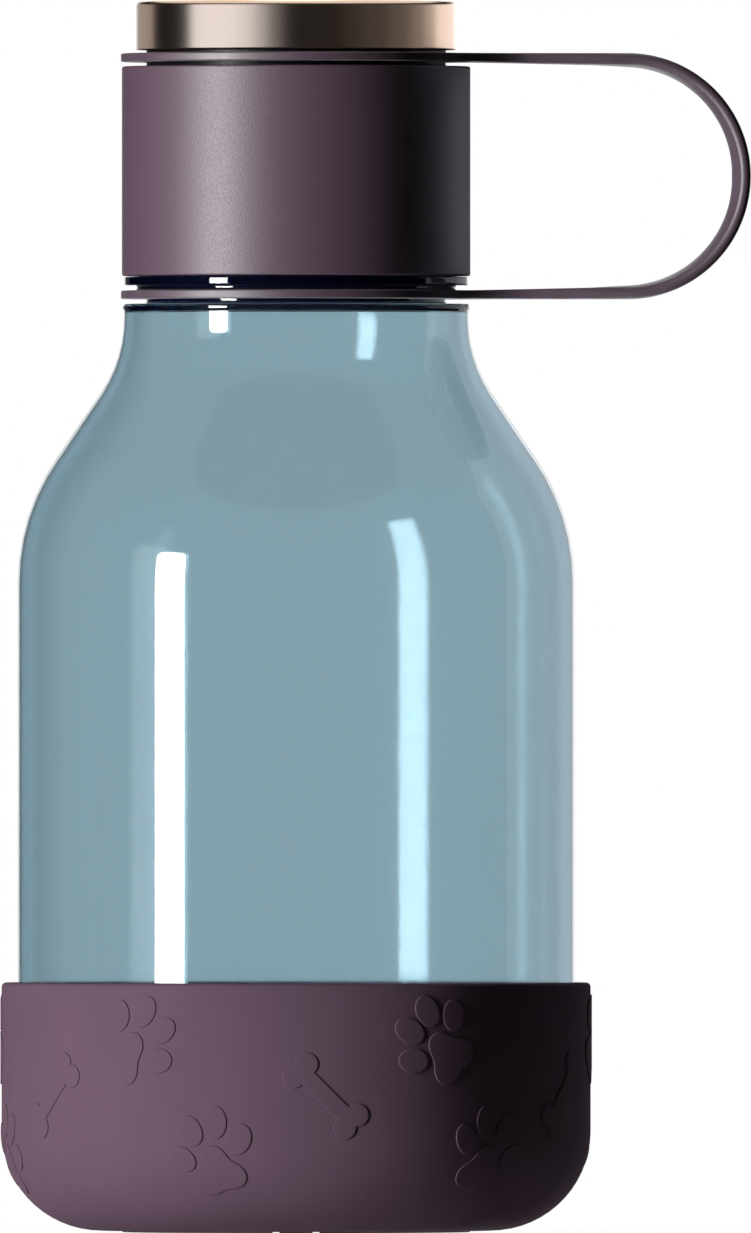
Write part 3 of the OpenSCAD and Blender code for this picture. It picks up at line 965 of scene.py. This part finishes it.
def flat_strap(size):
    """Half of the strap laid flat: a ring and its band as far as the grip."""
    bm = bmesh.new()
    columns = FILLET_COLUMNS + BAND_COLUMNS + BEND_COLUMNS
    rows = len(STRAP_ROWS) - 1
    bmesh.ops.create_grid(bm, x_segments=columns, y_segments=rows, size=0.5)
    first = []
    for vert in bm.verts:
        index = round((vert.co.x + 0.5) * columns)
        row = STRAP_ROWS[round((vert.co.y + 0.5) * rows)]
        vert.co = Vector((*flat_point(row, index, size), 0))
        if index == 0:
            first.append(vert)
    start = [edge for edge in bm.edges if all(vert in first for vert in edge.verts)]
    bore = verts_in(bmesh.ops.extrude_edge_only(bm, edges=start)["geom"])
    shrink = size.ring_bore / RING_R
    bmesh.ops.scale(bm, vec=(shrink, shrink, 1), verts=bore)
    outer_end = max(first, key=lambda vert: vert.co.y)
    inner_end = max(bore, key=lambda vert: vert.co.y)
    side = bm.edges.get((outer_end, inner_end))
    reach = math.atan2(outer_end.co.y, outer_end.co.x)
    bmesh.ops.spin(
        bm, geom=[side, outer_end, inner_end], cent=(0, 0, 0), axis=(0, 0, 1),
        angle=math.tau - 2 * reach, steps=RING_STEPS, use_merge=False)
    bmesh.ops.remove_doubles(bm, verts=bm.verts, dist=WELD)
    return bm


def thicken_strap(bm, size):
    """Gives the flat strap its thickness, its crowned grip and its rounded edges."""
    bmesh.ops.recalc_face_normals(bm, faces=bm.faces)
    if sum(face.normal.z for face in bm.faces) < 0:
        bmesh.ops.reverse_faces(bm, faces=bm.faces)
    seam_x = max(vert.co.x for vert in bm.verts)
    lower = bmesh.ops.extrude_face_region(bm, geom=bm.faces[:], use_keep_orig=True)
    under = set(verts_in(lower["geom"]))
    for vert in bm.verts:
        vert.co.z = -edge_thickness(vert.co.x, size) if vert in under else 0.0
    seam = [
        face for face in bm.faces
        if all(abs(vert.co.x - seam_x) < MERGE for vert in face.verts)]
    bmesh.ops.delete(bm, geom=seam, context="FACES")
    bmesh.ops.recalc_face_normals(bm, faces=bm.faces)
    upright = [edge for edge in bm.edges if (edge.verts[0].co - edge.verts[1].co).xy.length < MERGE]
    bmesh.ops.subdivide_edges(bm, edges=upright, cuts=EDGE_ROWS)
    rims = [edge for edge in bm.edges if edge.calc_face_angle(0.0) > RIM_ANGLE]
    bevel(bm, rims, size.edge_round, EDGE_STEPS)
    for vert in bm.verts:
        if vert.co.x > size.bend_x - BAND_ROUND_FROM:
            round_band(vert, size)


def round_band(vert, size):
    """Makes the band's edges fully round, and swells its faces into a grip."""
    radius = edge_thickness(vert.co.x, size) / 2
    share = min(1.0, (vert.co.x - size.bend_x + BAND_ROUND_FROM) / BAND_ROUND_FROM)
    high = vert.co.z + radius
    if abs(vert.co.y) > size.width / 2 - size.edge_round - MERGE:
        flat = radius - size.edge_round
        start = math.asin(flat / radius)
        if abs(high) <= flat + MERGE:
            turn = start * abs(high) / flat
        else:
            arc = math.asin(min(1.0, (abs(high) - flat) / size.edge_round))
            turn = start + arc * (1 - start / (math.pi / 2))
        wide = size.width / 2 - radius + radius * math.cos(turn)
        level = math.copysign(radius * math.sin(turn), high)
        vert.co.y += share * (math.copysign(wide, vert.co.y) - vert.co.y)
        vert.co.z += share * (level - high)
        return
    swell = grip_crown(vert.co.x, vert.co.y, size)
    vert.co.z += swell * (SWELL_OUT if high > 0 else SWELL_IN)


def bend_strap(bm, size):
    """Bends the flat band round to the grip."""
    for vert in bm.verts:
        along, depth = vert.co.x, -vert.co.z
        if along <= size.bend_x:
            vert.co.z = AT.upper_ring.high - depth
            continue
        turn = (along - size.bend_x) / LOOP_R
        radius = LOOP_R - depth
        vert.co.x = size.bend_x + radius * math.sin(turn)
        vert.co.z = LOOP_Z + radius * math.cos(turn)


def model_strap(size):
    """The whole strap: one bent half, mirrored."""
    bm = flat_strap(size)
    thicken_strap(bm, size)
    bend_strap(bm, size)
    bmesh.ops.mirror(
        bm, geom=everything(bm), matrix=Matrix.Translation((0, 0, -LOOP_Z)),
        merge_dist=WELD, axis="Z")
    bmesh.ops.remove_doubles(bm, verts=bm.verts, dist=WELD)
    bmesh.ops.recalc_face_normals(bm, faces=bm.faces)
    return bm


# ---- the lid ----

SLEEVE_TOP_T = 1.5
CAP_DECK_T = 2.5
GROOVE_H = 3.3
STEM_R = 12.05
SLEEVE_R = 34.9
CAP_THREAD_DEPTH = 1.5
CAP_THREAD_ENDS = 0.3
PLUG_R = 26.5
PLUG_FLOOR_T = 2.2
SEAL_GROOVE_DEPTH = 0.8
SEAL_BORE = 25.7
SEAL_ROUND = 0.5
GASKET_BORE = 26.55
GASKET_ROUND = 0.35
LIP_H = 7.5
LIP_SQUEEZE = 0.005


def model_sleeve(size):
    """The satin sleeve with its turned-in top."""
    low, high = AT.sleeve.low, AT.sleeve.high
    inner = SLEEVE_R - size.sleeve_wall
    neck = size.groove_radius + SLIP
    edge = size.sleeve_round
    return turned([
        (inner, low, 0.2), (SLEEVE_R, low, edge), (SLEEVE_R, high, edge), (neck, high, 0.2),
        (neck, high - SLEEVE_TOP_T), (inner, high - SLEEVE_TOP_T, 0.5)], closed=True)


def model_cap(size, lead):
    """The inner cap: its threaded bore, its ledge, and the neck in the upper groove."""
    low, high = AT.cap.low, AT.cap.high
    outer, bore = AT.cap.r, size.cap_bore
    deck = AT.sleeve.high - SLEEVE_TOP_T
    ledge = AT.plug.high
    corners = [
        (outer, low, 0.3), (outer, deck, 0.3), (size.groove_radius, deck),
        (size.groove_radius, high, 0.2), (STEM_R, high), (STEM_R, high - CAP_DECK_T - SLEEVE_TOP_T),
        (bore, high - CAP_DECK_T - GROOVE_H, 0.5), (bore, ledge + CAP_DECK_T, 0.5),
        (size.ledge_bore, ledge + CAP_DECK_T, 0.5), (size.ledge_bore, ledge, 0.5),
        (bore, ledge, 0.3), (bore, low, 0.3)]
    bm = bmesh.new()
    half_section(bm, corners, closed=True)
    rows_for_thread(bm, bore, low, ledge)
    turn_round(bm)
    first = AT.bottle.high - MOUTH_H + THREAD_FIRST + lead / THREAD_STARTS / 2
    cut_thread(
        bm, bore, low + CAP_THREAD_ENDS, ledge - CAP_THREAD_ENDS, first, lead, -CAP_THREAD_DEPTH)
    return bm


def model_plug(size, mouth_radius):
    """The stopper cup with its flange, the groove for its seal, and its lower lip."""
    low, high = AT.plug.low, AT.plug.high
    inner = PLUG_R - size.plug_wall
    flange_low = AT.gasket.high
    groove = PLUG_R - SEAL_GROOVE_DEPTH
    lip = mouth_radius + LIP_SQUEEZE
    return turned([
        (0, low), (lip, low, 0.3), (lip, low + LIP_H, 0.3), (PLUG_R, low + LIP_H, 0.1),
        (PLUG_R, AT.seal.low, 0.1), (groove, AT.seal.low),
        (groove, AT.seal.high), (PLUG_R, AT.seal.high, 0.1), (PLUG_R, flange_low),
        (AT.plug.r, flange_low, 0.3), (AT.plug.r, high, 0.3), (inner, high, 0.5),
        (inner, low + PLUG_FLOOR_T, 2.5), (0, low + PLUG_FLOOR_T)])


def model_ring(at, inner, edge):
    """A plain ring with rounded edges, as large and high as its CAD node."""
    return turned([
        (inner, at.low, edge), (at.r, at.low, edge), (at.r, at.high, edge),
        (inner, at.high, edge)], closed=True)


def model_top_disc(size):
    """The metal disc: a shallow cap with a round upper edge."""
    low, high = AT.disc.low, AT.disc.high
    outer = AT.disc.r
    inner = outer - size.disc_wall
    return turned([
        (0, high - size.disc_wall), (inner, high - size.disc_wall, 0.3), (inner, low, 0.15),
        (outer, low, 0.2), (outer, high, size.disc_round), (0, high)])


def model_core(size):
    """The plastic core that holds the metal disc."""
    outer = AT.disc.r - size.disc_wall - SLIP
    stem = STEM_R - SLIP
    return turned([
        (0, AT.core.low), (stem, AT.core.low, 0.5), (stem, AT.disc.low),
        (outer, AT.disc.low, 0.2), (outer, AT.core.high, 0.2), (0, AT.core.high)])


# ---- the studio, in metres ----

# The lens and its sensor, in millimetres as Blender has them
LENS = 1000.0
SENSOR = 36.0
SENSOR_HEIGHT = 20.0
CAMERA_X = 0.0159
CAMERA_Z = 0.1
CAMERA_DISTANCE = 12.35
CLIP = (0.1, 30.0)
FRAME_MIDDLE_Z = 0.1233
FLOOR_R = 0.18
FLOOR_GAP = 0.0002
FLOOR_SIDES = 96
FLOOR_GREY = 0.6
FLOOR_GLOW = 1.22
FLOOR_SHARE = 0.8
# Where the floor fades out, in millimetres from the axis
FADE = (80.0, 165.0)
LAMP_DISTANCE = 1.5
LAMP_POWER = 4.0
STRIP_DISTANCE = 1.7
SCREEN_R = 2.2
SCREEN_OPEN_BEHIND = 15
SCREEN_OPEN_ABOVE = 75
OVERHEAD_Z = 1.2
OVERHEAD_SIZE = 7.0
OVERHEAD_SHARE = 0.8
# Where the lamps stand: degrees from the front, positive to the right, and heights
STRIP = (-59.8, -46.4)
STRIP_RISE = (-0.5, 0.7)
CARD_TOP = 0.545
CARD_ROUND = 0.085
INNER_RISE = (-0.81, 0.5)
RIM = (102, 150)
RIM_RISE = (-0.2, 3.0)
EDGE = (132, 165)
EDGE_RISE = (-0.2, 0.6)
BOTTLE_RIGHT = (97, 168)
BOTTLE_LEFT = (-168, -150)
BOTTLE_LEFT_SHARE = 0.15
DISC_RISE = (0.0, 0.5)
PLAIN = (1.0, 1.0, 1.0)
COOL = (0.71, 0.84, 1.0)
RIM_BLUE = (0.82, 0.87, 1.0)
PALE_BLUE = (0.9, 0.94, 1.0)
# [first and last degrees, share of the disc's level, tint]
DISC_PANELS = (
    (-165, -125, 0.32, PLAIN), (-82, -42, 1.33, COOL), (-42, -30, 1.13, COOL),
    (-30, -20, 0.65, COOL), (-20, -10, 0.2, COOL), (34, 50, 0.024, PLAIN),
    (50, 70, 0.048, PLAIN), (70, 90, 0.095, PLAIN), (90, 106, 0.2, PLAIN),
    (106, 120, 0.42, PLAIN), (120, 170, 0.95, PLAIN))


def stand(span, distance, height):
    """Where a lamp or card that fills a span of degrees stands, and how wide it is."""
    middle = math.radians(span[0] + span[1]) / 2
    width = 2 * distance * math.tan(math.radians(span[1] - span[0]) / 2)
    return Vector((distance * math.sin(middle), -distance * math.cos(middle), height)), width


def facing(where, target):
    """The turn that points an object's -Z from where it is to a target."""
    return (target - where).to_track_quat("-Z", "Y").to_euler()


def seen_by(thing, *ways):
    """Keeps a lamp or card to some kinds of ray."""
    for way in ("camera", "diffuse", "glossy", "transmission", "volume_scatter"):
        setattr(thing, "visible_" + way, way in ways)


def only_on(light, pieces, state="INCLUDE"):
    """Keeps a lamp to some pieces, or off them."""
    group = bpy.data.collections.new(light.name + "_pieces")
    for piece in pieces:
        group.objects.link(piece)
    for entry in group.collection_objects:
        entry.light_linking.link_state = state
    light.light_linking.receiver_collection = group


def lamp(name, width, height, level, tint=PLAIN):
    """A soft rectangular lamp, as bright whatever its size."""
    data = bpy.data.lights.new(name, "AREA")
    data.shape = "RECTANGLE"
    data.size = width
    data.size_y = height
    data.energy = level * LAMP_POWER * width * height
    data.color = tint
    light = add_object(name, data)
    seen_by(light, "diffuse", "glossy", "transmission")
    return light


def panel(name, span, rise, level, tint=PLAIN):
    """A lamp that fills a span of degrees and a range of heights."""
    where, width = stand(span, LAMP_DISTANCE, (rise[0] + rise[1]) / 2)
    light = lamp(name, width, rise[1] - rise[0], level, tint)
    light.location = where
    light.rotation_euler = facing(where, Vector((0, 0, where.z)))
    return light


def add_card(name, bm, material):
    """A card that only glossy rays see, and that keeps no lamp off the object."""
    card = add_mesh(name, bm, material)
    card.visible_shadow = False
    seen_by(card, "glossy")
    return card


def round_card(name, span, top, level):
    """A glowing card with round upper corners, which the bottle's gloss mirrors."""
    where, width = stand(span, STRIP_DISTANCE, 0)
    bm = bmesh.new()
    bmesh.ops.create_grid(bm, x_segments=1, y_segments=1, size=0.5)
    bmesh.ops.scale(bm, vec=(width, 2 * top, 1), verts=bm.verts)
    bevel(bm, bm.verts[:], CARD_ROUND, 10, "VERTICES")
    glow = Finish(name, Base_Color=(0, 0, 0, 1), Specular_IOR_Level=0.0,
                  Emission_Color=WHITE, Emission_Strength=level)
    card = add_card(name, bm, glow.material)
    card.location = where
    card.rotation_euler = facing(where, Vector((0, 0, 0)))
    return card


def light_object(levels, disc, bottle, strap):
    """The strip that models the bowl, strap and lid, and the lights behind them."""
    strip = panel("strip_light", STRIP, STRIP_RISE, levels.key_level)
    only_on(strip, disc + bottle, "EXCLUDE")
    seen_by(strip, "diffuse", "glossy")
    rim = panel("rim_light", RIM, RIM_RISE, levels.rim_level, RIM_BLUE)
    only_on(rim, disc + bottle + strap, "EXCLUDE")
    seen_by(rim, "glossy")
    edge = panel("edge_light", EDGE, EDGE_RISE, levels.edge_level)
    only_on(edge, disc, "EXCLUDE")
    seen_by(edge, "diffuse")


def light_bottle(levels, bottle):
    """The strip's two reflections in the bottle, crisp and soft, and its edges."""
    only_on(round_card("strip_card", STRIP, CARD_TOP, levels.card_level), bottle)
    inner = panel("inner_strip", STRIP, INNER_RISE, levels.inner_level)
    only_on(inner, bottle)
    seen_by(inner, "transmission")
    for name, span, share in (
            ("bottle_right", BOTTLE_RIGHT, 1.0), ("bottle_left", BOTTLE_LEFT, BOTTLE_LEFT_SHARE)):
        edge = panel(name, span, RIM_RISE, share * levels.rim_level, PALE_BLUE)
        only_on(edge, bottle)
        seen_by(edge, "glossy")


def light_disc(levels, disc):
    """The soft panels that the top disc mirrors, round its side and over its top."""
    for first, last, share, tint in DISC_PANELS:
        name = f"disc_panel_{first}".replace("-", "m")
        light = panel(name, (first, last), DISC_RISE, share * levels.disc_level, tint)
        only_on(light, disc)
        seen_by(light, "glossy")
    above = lamp(
        "disc_overhead", OVERHEAD_SIZE, OVERHEAD_SIZE, OVERHEAD_SHARE * levels.disc_level)
    above.location = (0, 0, OVERHEAD_Z)
    only_on(above, disc)


def dark_screen():
    """A dark shell round the studio that polished pieces mirror, open behind and above."""
    bm = bmesh.new()
    bmesh.ops.create_uvsphere(bm, u_segments=96, v_segments=48, radius=SCREEN_R)
    top = SCREEN_R * math.sin(math.radians(SCREEN_OPEN_ABOVE))
    open_faces = []
    for face in bm.faces:
        middle = face.calc_center_median()
        behind = abs(math.degrees(math.atan2(middle.x, middle.y))) < SCREEN_OPEN_BEHIND
        if behind or middle.z > top:
            open_faces.append(face)
    bmesh.ops.delete(bm, geom=open_faces, context="FACES")
    cloth = Finish("dark_cloth", Base_Color=(0.004, 0.004, 0.005, 1), Roughness=1.0,
                   Specular_IOR_Level=0.0)
    add_card("dark_screen", bm, cloth.material)


def seen_directly(nodes):
    """1 for a ray that shows the background, straight or in glass and metal, else 0."""
    camera, glossy, through = nodes.add("ShaderNodeLightPath", output=(
        "Is Camera Ray", "Is Glossy Ray", "Is Transmission Ray"))
    return nodes.add(
        "ShaderNodeMath", {"operation": "ADD", "use_clamp": True}, {0: camera + glossy, 1: through})


def white_world(ambient):
    """A white background with a low, even ambient light."""
    world = bpy.data.worlds.new("studio")
    world.use_nodes = True
    nodes = Nodes(world.node_tree)
    shown = seen_directly(nodes)
    back = world.node_tree.nodes["Background"]
    nodes.give(back.inputs["Color"], WHITE)
    nodes.give(back.inputs["Strength"], shown * (1 - ambient) + ambient)
    bpy.context.scene.world = world


def floor_finish():
    """A white floor that keeps the object's shadow and fades out before its edge."""
    made = Finish("pale_floor", Base_Color=(FLOOR_GREY, FLOOR_GREY, FLOOR_GREY, 1),
                  Roughness=0.9, Specular_IOR_Level=0.0)
    glow = made.add("ShaderNodeEmission", inputs={"Color": WHITE, "Strength": FLOOR_GLOW})
    lit = made.add("ShaderNodeMixShader", inputs={
        0: seen_directly(made) * FLOOR_SHARE, 1: Value(made, made.shader.outputs[0]), 2: glow})
    from_axis, _ = made.from_axis()
    fade = made.ramp(from_axis, FADE, "LINEAR")
    clear = made.add("ShaderNodeBsdfTransparent")
    mixed = made.add("ShaderNodeMixShader", inputs={0: fade, 1: lit, 2: clear})
    made.give(made.tree.nodes["Material Output"].inputs["Surface"], mixed)
    return made.material


def make_floor():
    """A small round floor, whose edge the white background takes over."""
    bm = bmesh.new()
    bmesh.ops.create_circle(bm, cap_ends=True, radius=FLOOR_R, segments=FLOOR_SIDES)
    bmesh.ops.translate(bm, vec=(0, 0, -FLOOR_GAP), verts=bm.verts)
    floor = add_mesh("floor", bm, floor_finish())
    floor.visible_shadow = False


def make_camera():
    """A long lens from far away, which is as flat as the photograph."""
    data = bpy.data.cameras.new("camera")
    data.lens = LENS
    data.sensor_width = SENSOR
    data.sensor_height = SENSOR_HEIGHT
    data.sensor_fit = "VERTICAL"
    data.clip_start, data.clip_end = CLIP
    camera = add_object("camera", data)
    camera.location = (CAMERA_X, -CAMERA_DISTANCE, CAMERA_Z)
    camera.rotation_euler = facing(camera.location, Vector((CAMERA_X, 0, FRAME_MIDDLE_Z)))
    bpy.context.scene.camera = camera


# ---- operators ----


class BOTTLE_OT_make_bottle(bpy.types.Operator):
    """Models the clear bottle"""

    bl_idname = "travel_bottle.make_bottle"
    bl_label = "Clear bottle"

    def execute(self, context):
        bm = model_bottle(millimetres(context.scene.bottle_sizes))
        colours = context.scene.bottle_colours
        bottle = make_piece("bottle", bm, clear_plastic(colours),
                            "bottle", ["bottle_shell"])
        bottle.visible_shadow = False
        return {"FINISHED"}


class BOTTLE_OT_make_bowl(bpy.types.Operator):
    """Models the drinking bowl with its paw prints and bones, and finishes its pad"""

    bl_idname = "travel_bottle.make_bowl"
    bl_label = "Drinking bowl"

    def execute(self, context):
        colours = context.scene.bottle_colours
        bm = model_bowl(millimetres(context.scene.bowl_sizes))
        finish = moulded_plastic("bowl_plastic", tuple(colours.bowl), 0.8, 0.05)
        make_piece("bowl", bm, finish, "bowl", ["dog_bowl"])
        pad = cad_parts["bowl_foot"]
        pad.data.materials.clear()
        pad.data.materials.append(rubber("foot_rubber", tuple(colours.foot), 0.6))
        return {"FINISHED"}


class BOTTLE_OT_make_strap(bpy.types.Operator):
    """Models the silicone strap"""

    bl_idname = "travel_bottle.make_strap"
    bl_label = "Silicone strap"

    def execute(self, context):
        bm = model_strap(millimetres(context.scene.strap_sizes))
        nodes = ["strap_upper_ring", "strap_loop", "strap_lower_ring"]
        strap = make_piece(
            "strap", bm, silicone(context.scene.bottle_colours),
            replaces=nodes)
        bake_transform(strap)
        return {"FINISHED"}


class BOTTLE_OT_make_lid(bpy.types.Operator):
    """Models the lid's satin sleeve and the threaded cap inside it"""

    bl_idname = "travel_bottle.make_lid"
    bl_label = "Lid"

    def execute(self, context):
        size = millimetres(context.scene.lid_sizes)
        lead = millimetres(context.scene.bottle_sizes).thread_lead
        colours = context.scene.bottle_colours
        make_piece("sleeve", model_sleeve(size), satin_metal(colours),
                   "lid", ["lid_sleeve"])
        finish = moulded_plastic("cap_plastic", tuple(colours.cap), 0.4)
        make_piece("inner_cap", model_cap(size, lead), finish,
                   "lid", ["thread_cap"])
        return {"FINISHED"}


class BOTTLE_OT_make_stopper(bpy.types.Operator):
    """Models the stopper, its seal ring and the gasket on the mouth"""

    bl_idname = "travel_bottle.make_stopper"
    bl_label = "Stopper and seals"

    def execute(self, context):
        size = millimetres(context.scene.lid_sizes)
        mouth_radius = millimetres(context.scene.bottle_sizes).mouth_radius
        colours = context.scene.bottle_colours
        dark = moulded_plastic("plug_plastic", tuple(colours.plug), 0.6, 0.03)
        make_piece("stopper", model_plug(size, mouth_radius), dark,
                   "lid", ["lid_plug"])
        soft = rubber("seal_rubber", tuple(colours.seal), 0.5)
        make_piece("seal_ring", model_ring(AT.seal, SEAL_BORE, SEAL_ROUND), soft,
                   "lid", ["plug_seal"])
        make_piece("gasket", model_ring(AT.gasket, GASKET_BORE, GASKET_ROUND), soft,
                   "lid", ["mouth_gasket"])
        return {"FINISHED"}


class BOTTLE_OT_make_top_disc(bpy.types.Operator):
    """Models the metal top disc and the core that holds it"""

    bl_idname = "travel_bottle.make_top_disc"
    bl_label = "Top disc"

    def execute(self, context):
        size = millimetres(context.scene.lid_sizes)
        colours = context.scene.bottle_colours
        make_piece("top_disc_cap", model_top_disc(size), turned_metal(colours),
                   "lid", ["top_disc"])
        finish = moulded_plastic("core_plastic", tuple(colours.cap), 0.45)
        make_piece("core", model_core(size), finish, "lid", ["disc_core"])
        return {"FINISHED"}


class BOTTLE_OT_make_stage(bpy.types.Operator):
    """Sets up the floor, the light and the camera"""

    bl_idname = "travel_bottle.make_stage"
    bl_label = "Studio"

    def execute(self, context):
        levels = context.scene.bottle_stage
        context.scene.view_settings.view_transform = "Standard"
        white_world(levels.ambient)
        make_floor()
        make_camera()
        disc, bottle, strap = (
            [bpy.data.objects[name]] for name in ("top_disc_cap", "bottle", "strap"))
        light_object(levels, disc, bottle, strap)
        light_bottle(levels, bottle)
        light_disc(levels, disc)
        dark_screen()
        return {"FINISHED"}


GROUPS = {
    "bottle_sizes": BottleSizes,
    "bowl_sizes": BowlSizes,
    "strap_sizes": StrapSizes,
    "lid_sizes": LidSizes,
    "bottle_colours": Colours,
    "bottle_stage": StageSettings,
}

# Each operator, and the group of settings that the panel lists under it
PIECES = (
    (BOTTLE_OT_make_bowl, "bowl_sizes"),
    (BOTTLE_OT_make_bottle, "bottle_sizes"),
    (BOTTLE_OT_make_strap, "strap_sizes"),
    (BOTTLE_OT_make_lid, "lid_sizes"),
    (BOTTLE_OT_make_stopper,),
    (BOTTLE_OT_make_top_disc,),
    (BOTTLE_OT_make_stage, "bottle_stage"),
)


class BOTTLE_PT_panel(bpy.types.Panel):
    """Lists the pieces and their sizes"""

    bl_label = "Travel bottle"
    bl_space_type = "VIEW_3D"
    bl_region_type = "UI"
    bl_category = "Bottle"

    def draw(self, context):
        for owner, *groups in PIECES:
            box = self.layout.box()
            box.operator(owner.bl_idname)
            for group in groups:
                for name in GROUPS[group].__annotations__:
                    box.prop(getattr(context.scene, group), name)
        box = self.layout.box()
        for name in Colours.__annotations__:
            box.prop(context.scene.bottle_colours, name)


def register():
    """Registers the sizes, the operators and the panel."""
    for name, group in GROUPS.items():
        bpy.utils.register_class(group)
        setattr(bpy.types.Scene, name, bpy.props.PointerProperty(type=group))
    for owner, *_ in PIECES:
        bpy.utils.register_class(owner)
    bpy.utils.register_class(BOTTLE_PT_panel)


def unregister():
    """Takes back what register added."""
    bpy.utils.unregister_class(BOTTLE_PT_panel)
    for owner, *_ in reversed(PIECES):
        bpy.utils.unregister_class(owner)
    for name, group in GROUPS.items():
        delattr(bpy.types.Scene, name)
        bpy.utils.unregister_class(group)


def main():
    """Makes every piece and the stage."""
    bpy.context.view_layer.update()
    register()
    make = bpy.ops.travel_bottle
    make.make_bowl()
    make.make_bottle()
    make.make_strap()
    make.make_lid()
    make.make_stopper()
    make.make_top_disc()
    make.make_stage()


if __name__ == "__main__":
    main()
